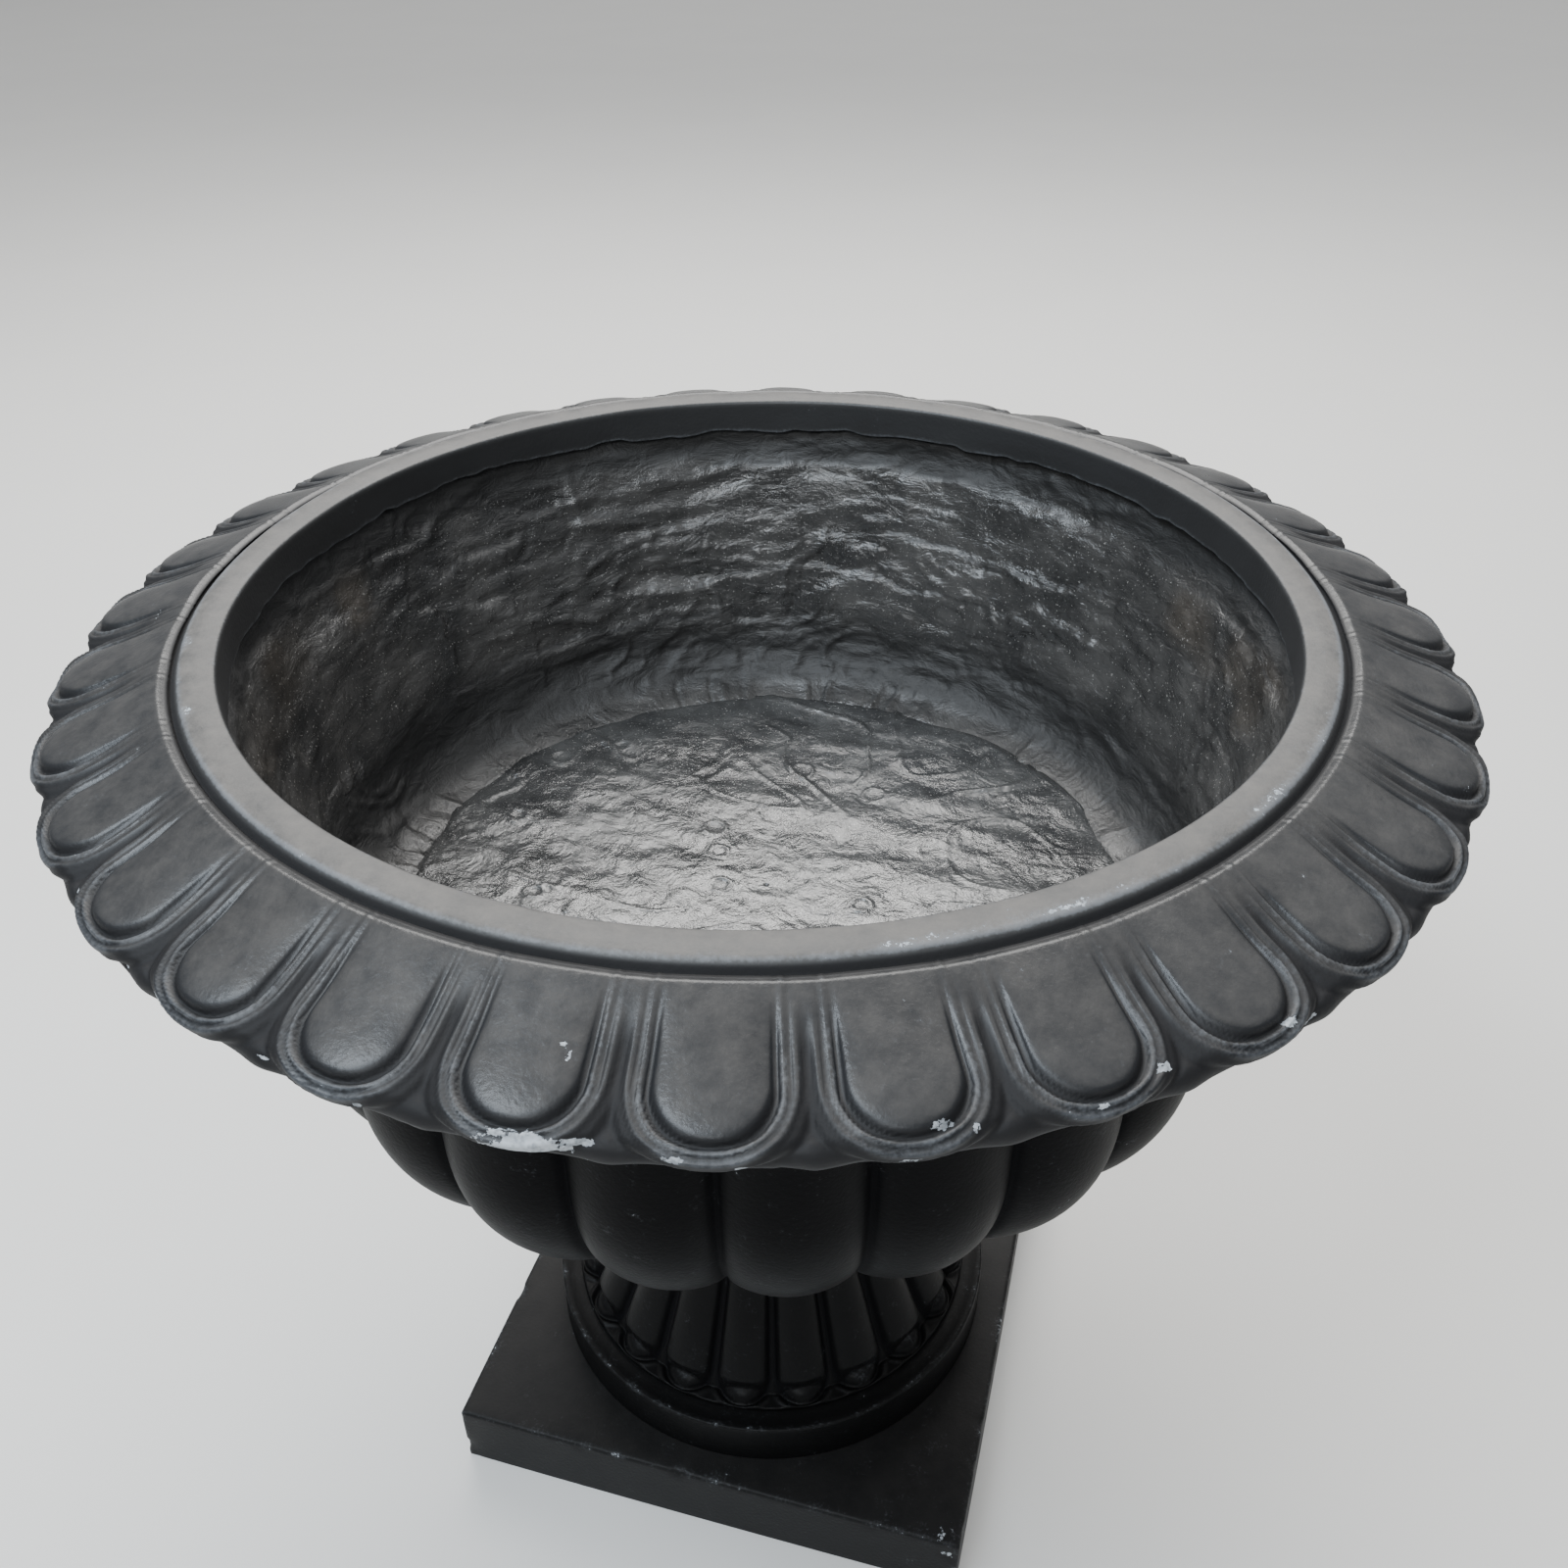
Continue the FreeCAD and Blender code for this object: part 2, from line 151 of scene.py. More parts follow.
def plinth_points():
    """A rounded square for each point of the wall's outline, shrunk by how far it lies inside the edge.

    The arris is nicked and one corner knocked in, by noise times a hump round the edge."""
    bore = plinth_half - ROD_HOLE
    under = plinth_top - PLINTH_PANEL
    inset, height = outline(
        [(0, plinth_bottom), (0, plinth_top), (bore, plinth_top), (bore, under), (PLINTH_WALL, under),
         (PLINTH_WALL, plinth_bottom)],
        [1.5, PLINTH_ROUND, 1.0, 1.0, 4.0, 1.5], PLINTH_STEP)
    angle = (np.arange(PLINTH_COLUMNS) + 0.5) * TURN / PLINTH_COLUMNS
    compass = np.stack([np.cos(angle), np.sin(angle)], axis=-1)
    side = np.clip(compass * math.sqrt(2.0), -1.0, 1.0)
    half = plinth_half - inset
    corner_round = np.minimum(PLINTH_ROUND, half)
    flat = side[:, None] * (half - corner_round)[:, None] + compass[:, None] * corner_round[:, None]
    points = np.concatenate([flat, np.broadcast_to(height[:, None], flat.shape[:2] + (1,))], axis=-1)
    edge = hump(inset, 4.0) * hump(height - plinth_top, 4.0)
    arris = hump(np.abs(side).min(axis=-1) - 1.0, 0.03)[:, None] * hump(inset, 5.0)
    edge = np.maximum(edge, arris)
    nick = smooth(0.35, 0.75, noise(points, 14.0, 3)) * edge
    corner = np.array([plinth_half, -plinth_half, plinth_top])
    knock = smooth(KNOCK_REACH, 3.0, np.linalg.norm(points - corner, axis=-1))
    knock = knock * smooth(-0.2, 0.5, noise(points, 9.0, 4))
    from_middle = np.maximum(np.linalg.norm(points[..., :2], axis=-1, keepdims=True), 1.0)
    outward = points * [1, 1, 0] / from_middle
    points = points - outward * (NICK_DEPTH * nick + KNOCK_DEPTH * knock)[..., None]
    points[..., 2] -= (0.8 * nick + 1.6 * knock) * (height > plinth_top - 8.0)
    points[..., 2] += PLINTH_WAVER * noise(points, 70.0, 5) * smooth(5.0, 30.0, height)
    return points, edge, knock


points, edge, knock = plinth_points()
plinth = closed_grid("plinth_tray", points, edge=edge, chip=np.clip(knock * 1.6, 0, 1), recess=0.0)
stand(plinth, "black_paint", "plinth")


def group(name, inputs, outputs):
    """Empty shader node group with float inputs and their defaults, and named float outputs."""
    tree = bpy.data.node_groups.new(name, "ShaderNodeTree")
    for label, default in inputs.items():
        socket = tree.interface.new_socket(label, in_out="INPUT", socket_type="NodeSocketFloat")
        socket.default_value = default
    for label in outputs:
        tree.interface.new_socket(label, in_out="OUTPUT", socket_type="NodeSocketFloat")
    return tree, tree.nodes.new("NodeGroupInput").outputs, tree.nodes.new("NodeGroupOutput").inputs


def feed(tree, socket, source):
    """Link a socket to a source, or set it to a plain value."""
    if isinstance(source, bpy.types.NodeSocket):
        tree.links.new(source, socket)
    else:
        socket.default_value = source


def maths(tree, operation, first, second=0.0, clamp=False):
    node = tree.nodes.new("ShaderNodeMath")
    node.operation = operation
    node.use_clamp = clamp
    feed(tree, node.inputs[0], first)
    feed(tree, node.inputs[1], second)
    return node.outputs[0]


def plus(tree, first, second, clamp=False):
    return maths(tree, "ADD", first, second, clamp)


def times(tree, first, second):
    return maths(tree, "MULTIPLY", first, second)


def band(tree, value, low, high):
    """0 to 1 as value goes from low to high, eased at both ends."""
    node = tree.nodes.new("ShaderNodeMapRange")
    node.interpolation_type = "SMOOTHSTEP"
    feed(tree, node.inputs["Value"], value)
    feed(tree, node.inputs["From Min"], low)
    feed(tree, node.inputs["From Max"], high)
    return node.outputs["Result"]


def grain(tree, scale, detail=4.0, roughness=0.55, stretch=(1.0, 1.0, 1.0), distortion=0.0, kind="FBM"):
    """Cloudy pattern on object coordinates, in cells per metre, stretched along the axes."""
    place = tree.nodes.new("ShaderNodeTexCoord").outputs["Object"]
    mapping = tree.nodes.new("ShaderNodeMapping")
    mapping.inputs["Scale"].default_value = stretch
    tree.links.new(place, mapping.inputs["Vector"])
    node = tree.nodes.new("ShaderNodeTexNoise")
    node.noise_type = kind
    tree.links.new(mapping.outputs["Vector"], node.inputs["Vector"])
    feed(tree, node.inputs["Scale"], scale)
    node.inputs["Detail"].default_value = detail
    node.inputs["Roughness"].default_value = roughness
    node.inputs["Distortion"].default_value = distortion
    return node.outputs["Fac"]


def attribute(tree, name):
    node = tree.nodes.new("ShaderNodeAttribute")
    node.attribute_name = name
    return node.outputs["Fac"]


def tint(tree, mask, under, over):
    """Colour that goes from under to over as the mask goes from 0 to 1."""
    node = tree.nodes.new("ShaderNodeMix")
    node.data_type = "RGBA"
    feed(tree, node.inputs["Factor"], mask)
    feed(tree, node.inputs["A"], under)
    feed(tree, node.inputs["B"], over)
    return node.outputs["Result"]


def paint_chips():
    """Fine rubbing where Edge is high, ragged knocks where Knock is high, and small stray flakes."""
    settings = {"Edge": 0.0, "Knock": 0.0, "Spread": 0.5, "Flakes": 0.5}
    tree, put, out = group("paint_chips", settings, ["Rubbed", "Chipped"])
    coarse = grain(tree, 70.0, 6.0, 0.65)
    fine = grain(tree, 480.0, 4.0, 0.65)
    field = plus(tree, times(tree, coarse, 0.5), times(tree, fine, 0.5))
    worn = plus(tree, field, times(tree, put["Edge"], put["Spread"]))
    tree.links.new(band(tree, worn, 0.56, 0.92), out["Rubbed"])
    flake = plus(tree, field, times(tree, put["Flakes"], 0.1))
    flake = plus(tree, flake, times(tree, put["Edge"], 0.09))
    ragged = times(tree, maths(tree, "SUBTRACT", field, 0.5), 3.0)
    knocked = band(tree, plus(tree, put["Knock"], ragged), 0.50, 0.60)
    tree.links.new(maths(tree, "MAXIMUM", band(tree, flake, 0.70, 0.715), knocked), out["Chipped"])
    return tree


def settled_dust():
    """Dust that lies on faces that look up, in clouds."""
    tree, put, out = group("settled_dust", {"Amount": 0.5, "Scale": 14.0}, ["Dust"])
    normal = tree.nodes.new("ShaderNodeNewGeometry").outputs["Normal"]
    split = tree.nodes.new("ShaderNodeSeparateXYZ")
    tree.links.new(normal, split.inputs[0])
    up = band(tree, split.outputs["Z"], 0.70, 0.97)
    cloud = band(tree, grain(tree, put["Scale"], 8.0, 0.7), 0.1, 0.9)
    tree.links.new(times(tree, times(tree, up, cloud), put["Amount"]), out["Dust"])
    return tree


def skin_grain():
    """Stipple left by the mould and a rolled coat of paint: a height, and a blotch for colour and gloss."""
    tree, put, out = group("skin_grain", {"Stipple": 1.0, "Scale": 420.0}, ["Height", "Blotch"])
    stipple = grain(tree, put["Scale"], 3.0, 0.6)
    blotch = grain(tree, 26.0, 5.0, 0.6)
    height = plus(tree, times(tree, stipple, put["Stipple"]), times(tree, blotch, 0.6))
    tree.links.new(height, out["Height"])
    tree.links.new(blotch, out["Blotch"])
    return tree


CHIPS = paint_chips()
DUST = settled_dust()
GRAIN = skin_grain()


def placed(tree, node_group, **values):
    node = tree.nodes.new("ShaderNodeGroup")
    node.node_tree = node_group
    for label, value in values.items():
        feed(tree, node.inputs[label], value)
    return node.outputs


def new_material(name):
    material = bpy.data.materials.new(name)
    material.use_nodes = True
    tree = material.node_tree
    return material, tree, tree.nodes["Principled BSDF"]


def bumped(tree, shader, height, distance, strength=1.0):
    node = tree.nodes.new("ShaderNodeBump")
    node.inputs["Strength"].default_value = strength
    node.inputs["Distance"].default_value = distance
    tree.links.new(height, node.inputs["Height"])
    tree.links.new(node.outputs["Normal"], shader.inputs["Normal"])


DUST_COLOUR = (0.150, 0.140, 0.128, 1)
RUBBED_COLOUR = (0.20, 0.215, 0.235, 1)
# Near black, used as painted shade in grooves, valleys and under overhangs.
PAINTED_SHADE_COLOUR = (0.004, 0.004, 0.005, 1)
LAMINATE_DARK = (0.24, 0.26, 0.28, 1)
LAMINATE_PALE = (0.46, 0.49, 0.52, 1)


def black_paint(name, paint, dust, spread, flakes, gloss, shine):
    """Satin charcoal paint: greyer where rubbed, pale where chipped, dusty on top, with painted shade in the
    recesses.
    """
    material, tree, shader = new_material(name)
    recess = attribute(tree, "recess")
    skin = placed(tree, GRAIN, Stipple=1.0, Scale=420.0)
    wear = placed(tree, CHIPS, Edge=attribute(tree, "edge"), Knock=attribute(tree, "chip"),
                  Spread=spread, Flakes=flakes)
    dusty = placed(tree, DUST, Amount=dust, Scale=75.0)["Dust"]
    chip = wear["Chipped"]
    # The paint colour is passed in per piece. Pieces that lie in shade under the rim get darker copies of the
    # same black paint, which is painted shade.
    colour = tint(tree, skin["Blotch"], [c * 0.75 for c in paint] + [1], [c * 1.3 for c in paint] + [1])
    colour = tint(tree, dusty, colour, DUST_COLOUR)
    colour = tint(tree, times(tree, wear["Rubbed"], 0.5), colour, RUBBED_COLOUR)
    # Painted shade: the colour goes to near black where the recess mask is high.
    colour = tint(tree, recess, colour, PAINTED_SHADE_COLOUR)
    bared = tint(tree, band(tree, skin["Height"], 0.62, 0.98), LAMINATE_DARK, LAMINATE_PALE)
    tree.links.new(tint(tree, chip, colour, bared), shader.inputs["Base Color"])
    rough = plus(tree, times(tree, skin["Blotch"], 0.16), gloss - 0.08)
    rough = plus(tree, rough, times(tree, dusty, 0.25))
    rough = plus(tree, rough, times(tree, recess, 0.4))
    rough = plus(tree, rough, times(tree, chip, 0.3), clamp=True)
    tree.links.new(rough, shader.inputs["Roughness"])
    shader.inputs["Specular IOR Level"].default_value = shine
    height = maths(tree, "SUBTRACT", skin["Height"], times(tree, chip, 2.5))
    bumped(tree, shader, height, 0.00035, 0.55)
    return material


# Plinth: a darker copy of the black paint, as painted shade for its place under the bowl.
plinth.data.materials.append(
    black_paint("plinth_paint", (0.0065, 0.0065, 0.0067), 0.05, 0.09, 0.0, 0.5, 0.16))


# ----------------------------------------
# Foot disc. A shallow round cap of the same laminate, laid on the plinth. Its
# top is slightly dished behind a thin upstanding edge that catches the light.
# ----------------------------------------

disc_radius, disc_bottom, disc_top = size_mm("foot_disc")
DISC_WALL = 9.0
DISC_DISH = 1.6
DISC_EDGE = 2.5
DISC_COLUMNS = 640


def turned_at(angle, radius, height):
    """Points at each angle, of radius and height in millimetres, each around x along or along only."""
    angle, radius, height = np.broadcast_arrays(angle[:, None], radius, height)
    return np.stack([radius * np.cos(angle), radius * np.sin(angle), height], axis=-1)


def turned(radius, height, columns):
    """The same at equal angles, for a piece turned about the centre line."""
    return turned_at(np.arange(columns) * TURN / columns, radius, height)


def disc_points():
    """One outline turned about the centre line: the top dips behind the edge by a smooth step."""
    wall = disc_radius - DISC_WALL
    under = disc_top - DISC_WALL
    radius, height = outline(
        [(disc_radius, disc_bottom), (disc_radius, disc_top), (ROD_HOLE, disc_top), (ROD_HOLE, under),
         (wall, under), (wall, disc_bottom)],
        [1.0, 1.8, 1.0, 1.0, 4.0, 1.0], 3.0)
    dish = DISC_DISH * smooth(disc_top - 4.0, disc_top - 2.0, height)
    dish = dish * smooth(disc_radius - DISC_EDGE, disc_radius - 8.0, radius)
    points = turned(radius, height - dish, DISC_COLUMNS)
    edge = hump(radius - disc_radius + 1.5, 2.2) * hump(height - disc_top, 2.2)
    nick = smooth(0.45, 0.8, noise(points, 11.0, 8)) * edge
    points = points - points * [1, 1, 0] * (NICK_DEPTH * nick / disc_radius)[..., None]
    points[..., 2] -= 0.5 * NICK_DEPTH * nick
    return points, edge


points, edge = disc_points()
disc = closed_grid("foot_disc_cap", points, edge=edge, chip=0.0, recess=0.0)
stand(disc, "black_paint", "foot_disc")
# Disc: a darker copy of the black paint, as painted shade for its place under the bowl.
disc.data.materials.append(
    black_paint("disc_paint", (0.0045, 0.0045, 0.0047), 0.02, 0.10, 0.0, 0.48, 0.12))


# ----------------------------------------
# Fluted foot. One hollow moulding of twenty round-ended tongues that spread
# from the neck, on a thin scalloped flange bonded to the disc.
# ----------------------------------------

foot_radius, foot_bottom, foot_top = size_mm("foot_shell")
TONGUES = 20
TONGUE_GAP_ANGLE = 16.3
FOOT_FLANGE = 4.0
FOOT_TIP_RADIUS = 126.0
FOOT_NECK_RADIUS = 62.0
FOOT_SPREAD_POWER = 1.1
FOOT_WALL = 8.0
TONGUE_HEIGHT = 9.5
TONGUE_END = 21.0
TONGUE_TIP = 7.5
TONGUE_SHARE = 0.88
TONGUE_COLUMNS = 36
TONGUE_LEAN = 0.90
TONGUE_GROOVE = 1.3
FLANGE_LIP = 1.4
FLANGE_RISE = 2.2
FLANGE_ROWS = 12
CONE_ROWS = 70


def foot_points():
    """Rows run in over the flange, then up a curved cone. Each tongue is a half-round ridge: its height is
    the root of 1 minus the squared distance from its spine, in half widths, and its end is round."""
    flange_rows = np.linspace(0.0, 1.0, FLANGE_ROWS)
    cone_rows = np.linspace(0.0, 1.0, CONE_ROWS)[1:] ** 1.15
    slope = foot_top - foot_bottom
    flange_radius = foot_radius - FOOT_FLANGE * 0.4
    base_radius = np.concatenate([
        flange_radius + flange_rows * (FOOT_TIP_RADIUS - flange_radius),
        FOOT_NECK_RADIUS + (FOOT_TIP_RADIUS - FOOT_NECK_RADIUS) * (1.0 - cone_rows) ** FOOT_SPREAD_POWER])
    base_height = np.concatenate([flange_rows * 0.0, cone_rows * (slope - FLANGE_RISE)])
    base_height = foot_bottom + FLANGE_RISE + base_height
    last = FLANGE_ROWS - 1
    climb = np.cumsum(np.hypot(np.diff(base_radius[last:]), np.diff(base_height[last:])))
    climb = np.concatenate([FOOT_TIP_RADIUS - base_radius[:FLANGE_ROWS], climb])
    columns = TONGUES * TONGUE_COLUMNS
    angle = np.arange(columns) * TURN / columns
    pitch = TURN / TONGUES
    across = np.mod((angle - math.radians(TONGUE_GAP_ANGLE)) / pitch, 1.0) * 2.0 - 1.0
    half = base_radius * pitch / 2.0
    width = TONGUE_SHARE * half
    beyond = np.maximum(TONGUE_END - TONGUE_TIP - climb, 0.0)
    distance = np.hypot(across[:, None] * half / width, beyond / TONGUE_END)
    ridge = np.sqrt(np.clip(1.0 - distance**2, 0.0, 1.0))
    taper = 1.0 - 0.45 * smooth(0.0, slope, climb)
    past = (distance - 1.0) * width
    lip = hump(past - 4.0, 1.5) * smooth(2.0, -3.0, climb)
    groove = hump(past - 0.4, 1.6)
    lift = (TONGUE_HEIGHT * ridge - TONGUE_GROOVE * groove) * taper + FLANGE_LIP * lip
    out = TONGUE_LEAN * smooth(-6.0, 16.0, climb)
    up = np.sqrt(1.0 - out**2) * (1.0 - smooth(slope * 0.8, slope, climb))
    radius = base_radius + lift * out
    height = np.minimum(base_height + lift * up, foot_top)
    edge = np.clip(hump(distance - 0.72, 0.22) * smooth(30.0, 0.0, climb) + 0.6 * lip, 0.0, 1.0)
    # Painted shade in the groove round each tongue, carried by the recess mask.
    recess = np.clip(groove * 0.8 * smooth(-8.0, 5.0, climb), 0.0, 1.0)
    down = slice(None, last, -6)
    under_radius = np.concatenate([
        [FOOT_NECK_RADIUS - FOOT_WALL] * 2, (base_radius - FOOT_WALL)[down],
        [FOOT_TIP_RADIUS - 12.0, flange_radius - 1.0, flange_radius + 0.6]])
    under_height = np.concatenate([
        [foot_top, foot_top - 4.0], (base_height - 3.0)[down], [foot_bottom, foot_bottom, foot_bottom + 0.8]])
    shape = (columns, len(under_radius))
    radius = np.hstack([radius, np.broadcast_to(under_radius, shape)])
    height = np.hstack([height, np.broadcast_to(under_height, shape)])
    plain = np.zeros(shape)
    return turned(radius, height, columns), np.hstack([edge, plain]), np.hstack([recess, plain])


points, edge, recess = foot_points()
foot = closed_grid("fluted_foot", points, edge=edge, chip=0.0, recess=recess)
stand(foot, "black_paint", "foot_shell")
# Foot: a darker copy of the black paint, as painted shade for its place under the bowl.
foot.data.materials.append(
    black_paint("foot_paint", (0.0048, 0.0048, 0.005), 0.03, 0.06, -0.6, 0.42, 0.10))


# ----------------------------------------
# Neck collar. A plain turned bead of laminate that the bowl's base sits in,
# in the shade between the foot and the bowl.
# ----------------------------------------

collar_radius, collar_bottom, collar_top = size_mm("neck_collar")
COLLAR_BORE = 44.0
COLLAR_END = 66.0
COLLAR_BEAD_SHARE = 0.8
COLLAR_COLUMNS = 360


def collar_points():
    """A half-round bead between two short necks, turned about the centre line."""
    middle = (collar_bottom + collar_top) / 2.0
    swell = np.linspace(-1.0, 1.0, 25)
    round_side = np.sqrt(np.clip(1.0 - (swell / COLLAR_BEAD_SHARE) ** 2, 0.0, 1.0))
    bead_radius = COLLAR_END + (collar_radius - COLLAR_END) * round_side
    bead_height = middle + swell * (collar_top - collar_bottom) / 2.0
    bore = COLLAR_BORE + np.array([1.0, 0.0, 0.0, 1.0])
    bore_height = np.array([collar_top, collar_top - 1.0, collar_bottom + 1.0, collar_bottom])
    return turned(np.append(bead_radius, bore), np.append(bead_height, bore_height), COLLAR_COLUMNS)


# A recess of 0.2 gives the whole bead a little painted shade.
collar = closed_grid("neck_bead", collar_points(), edge=0.0, chip=0.0, recess=0.2)
stand(collar, "black_paint", "neck_collar")
# Collar: a darker copy of the black paint, as painted shade for its place between the foot and the bowl.
collar.data.materials.append(
    black_paint("collar_paint", (0.004, 0.004, 0.0042), 0.02, 0.1, 0.0, 0.5, 0.1))


# ----------------------------------------
# Bowl. A laminate shell about 7 mm thick, moulded with twenty-four round lobes
# that meet in sharp valleys and die out in the throat under the rim.
# ----------------------------------------

bowl_mouth, bowl_bottom, bowl_top = size_mm("bowl_shell")
LOBES = 24
LOBE_VALLEY_ANGLE = 11.5
LOBE_DEPTH = 13.0
BELLY_RADIUS = 272.0
BELLY_DEPTH = 164.0
BELLY_ROUNDNESS = 2.3
BELLY_RISE = 43.0
BOWL_SEAT_RADIUS = 74.0
BOWL_SEAT_DROP = 3.6
BOWL_WALL = 7.0
BOWL_WAVER = 0.5
LOBE_COLUMNS = 40
belly_height = bowl_bottom + BELLY_DEPTH - BOWL_SEAT_DROP


def bowl_points():
    """Belly: a superellipse from the seat up to the widest ring, then a wall that flares by a smooth step.

    Lobes: the wall sinks towards each valley by the squared distance from the lobe's crest."""
    power = 2.0 / BELLY_ROUNDNESS
    start = math.asin((BOWL_SEAT_RADIUS / BELLY_RADIUS) ** (1.0 / power))
    turn = np.linspace(start, math.pi / 2.0, 46)
    rise = np.linspace(0.0, bowl_top - belly_height, 26)[1:]
    throat = smooth(BELLY_RISE, bowl_top - belly_height, rise)
    above = BELLY_RADIUS + (bowl_mouth - BELLY_RADIUS) * throat
    crest = np.append(BELLY_RADIUS * np.sin(turn) ** power, above)
    height = np.append(belly_height - BELLY_DEPTH * np.abs(np.cos(turn)) ** power, belly_height + rise)
    height = np.maximum(height, bowl_bottom)
    depth = LOBE_DEPTH * np.minimum(crest / BELLY_RADIUS, 1.0)
    depth = depth * (1.0 - smooth(BELLY_RISE - 10.0, BELLY_RISE + 65.0, height - belly_height))
    columns = LOBES * LOBE_COLUMNS
    angle = np.arange(columns) * TURN / columns
    across = np.mod((angle - math.radians(LOBE_VALLEY_ANGLE)) * LOBES / TURN, 1.0) * 2.0 - 1.0
    round_side = 1.0 - np.sqrt(1.0 - 0.97 * across**2)
    valley = (0.45 * across**2 + 0.66 * round_side)[:, None] * depth
    slit = hump(1.0 - np.abs(across), 0.05)[:, None] * depth * 0.08
    outside = turned(crest - valley - slit, height, columns)
    inner_radius = (crest - 0.78 * depth - BOWL_WALL)[::-4]
    inner_height = np.minimum(height + BOWL_WALL * (height < belly_height), bowl_top)[::-4]
    inner_radius = np.append(inner_radius, [ROD_HOLE, ROD_HOLE])
    inner_height = np.append(inner_height, [inner_height[-1], bowl_bottom])
    inside = turned(inner_radius, inner_height, columns)
    points = np.concatenate([outside, inside], axis=1)
    points = points + points * [1, 1, 0] * (BOWL_WAVER / BELLY_RADIUS * noise(points, 60.0, 11))[..., None]
    plain = np.zeros(inside.shape[:2])
    # Painted shade along the valleys between the lobes, carried by the recess mask.
    recess = hump(1.0 - np.abs(across), 0.12)[:, None] * (depth / LOBE_DEPTH)
    edge = smooth(0.5, 0.0, np.abs(across))[:, None] * smooth(0.3, 1.0, depth / LOBE_DEPTH) * 0.5
    return points, np.hstack([edge, plain]), np.hstack([recess, plain])


points, edge, recess = bowl_points()
bowl = closed_grid("lobed_bowl", points, edge=edge, chip=0.0, recess=recess * 0.6)
stand(bowl, "black_paint", "bowl_shell")
# Bowl: the darkest copy of the black paint, as painted shade for the belly under the rim.
bowl.data.materials.append(
    black_paint("bowl_paint", (0.0020, 0.0020, 0.0022), 0.0, 0.02, -1.5, 0.46, 0.04))


# ----------------------------------------
# Lining. Glass mat wetted out with dark resin and laid up by hand behind the
# bowl and rim. It has dried glossy, with lap edges, wrinkles and brush drags.
# ----------------------------------------

lining_mouth, lining_bottom, lining_top = size_mm("bowl_lining")
floor_edge, floor_bottom, floor_level = size_mm("floor_panel")
LINING_WALL = 6.0
LINING_BELLY_RADIUS = 245.0
LINING_FLARE_RISE = 5.0
LINING_FLARE_POWER = 1.5
COVE_HEIGHT = 36.0
SHELF_RADIUS = 193.0
LINING_COLUMNS = 1080
LINING_ROWS = 82
RELIEF_SUNK = 2.6
RELIEF_PROUD = 4.0
MARK_RADIUS = 240.0
LAPS = 15
STRIP_ENDS = 11


def wall_radius(height):
    """Radius of the planting space's wall: a quarter-round cove off the floor, then a flare to the lip."""
    rise = height - belly_height - LINING_FLARE_RISE
    climb = np.clip(rise / (lining_top - belly_height - LINING_FLARE_RISE), 0.0, 1.0)
    spread = lining_mouth - LINING_WALL - LINING_BELLY_RADIUS
    share = np.clip((height - floor_level) / COVE_HEIGHT, 0.0, 1.0)
    cove = 1.0 - np.sqrt(np.clip(1.0 - (1.0 - share) ** 2, 0.0, 1.0))
    flare = spread * climb**LINING_FLARE_POWER
    return LINING_BELLY_RADIUS + flare - (LINING_BELLY_RADIUS - floor_edge) * cove


def drag_marks(angle, rise, seed):
    """Leathery wrinkles: soft lumps, with sharp creases where a warped noise passes chosen levels."""
    around = np.stack([np.cos(angle), np.sin(angle)], axis=-1) * MARK_RADIUS
    place = np.concatenate([around, rise[..., None] * 3.2], axis=-1)
    place[..., 2] += 45.0 * noise(place * [1, 1, 0.3], 60.0, seed + 9)
    broad = noise(place, 62.0, seed)
    middle = noise(place, 30.0, seed + 1)
    lumps = 1.3 * broad + 0.9 * middle + 0.35 * noise(place, 14.0, seed + 2)
    creases = 1.2 * hump(broad, 0.07) + 0.9 * hump(broad - 0.42, 0.06) - 0.9 * hump(middle + 0.35, 0.08)
    creases += 0.8 * hump(middle - 0.3, 0.07)
    patch = noise(around[..., [0, 1, 1]] + rise[..., None], 75.0, seed + 5)
    return lumps + creases * smooth(-0.5, 0.3, patch)


def lap_edges(angle, rise):
    """Edges of the laid strips: each steps up along a wandering line and fades away below it. The second
    result is a line of painted shade along each step.
    """
    total = np.zeros(angle.shape)
    dark = np.zeros(angle.shape)
    laps = np.random.default_rng(21)
    for _ in range(LAPS):
        middle = laps.uniform(0.0, TURN)
        reach = laps.uniform(0.35, 1.1)
        level = laps.uniform(28.0, 150.0)
        slope = laps.uniform(-9.0, 9.0)
        wave = laps.uniform(2.0, 7.0)
        beat = laps.uniform(3.0, 9.0)
        tall = laps.uniform(0.7, 1.7)
        off = np.mod(angle - middle + math.pi, TURN) - math.pi
        line = level + slope * off + wave * np.sin(beat * off + middle) + 1.6 * np.sin(31.0 * off + middle)
        inside = smooth(reach, reach * 0.75, np.abs(off))
        below = line - rise
        total += tall * inside * smooth(0.0, 1.4, below) * np.exp(-np.maximum(below, 0.0) / 16.0)
        dark += inside * hump(below + 0.6, 1.0)
    return total, dark


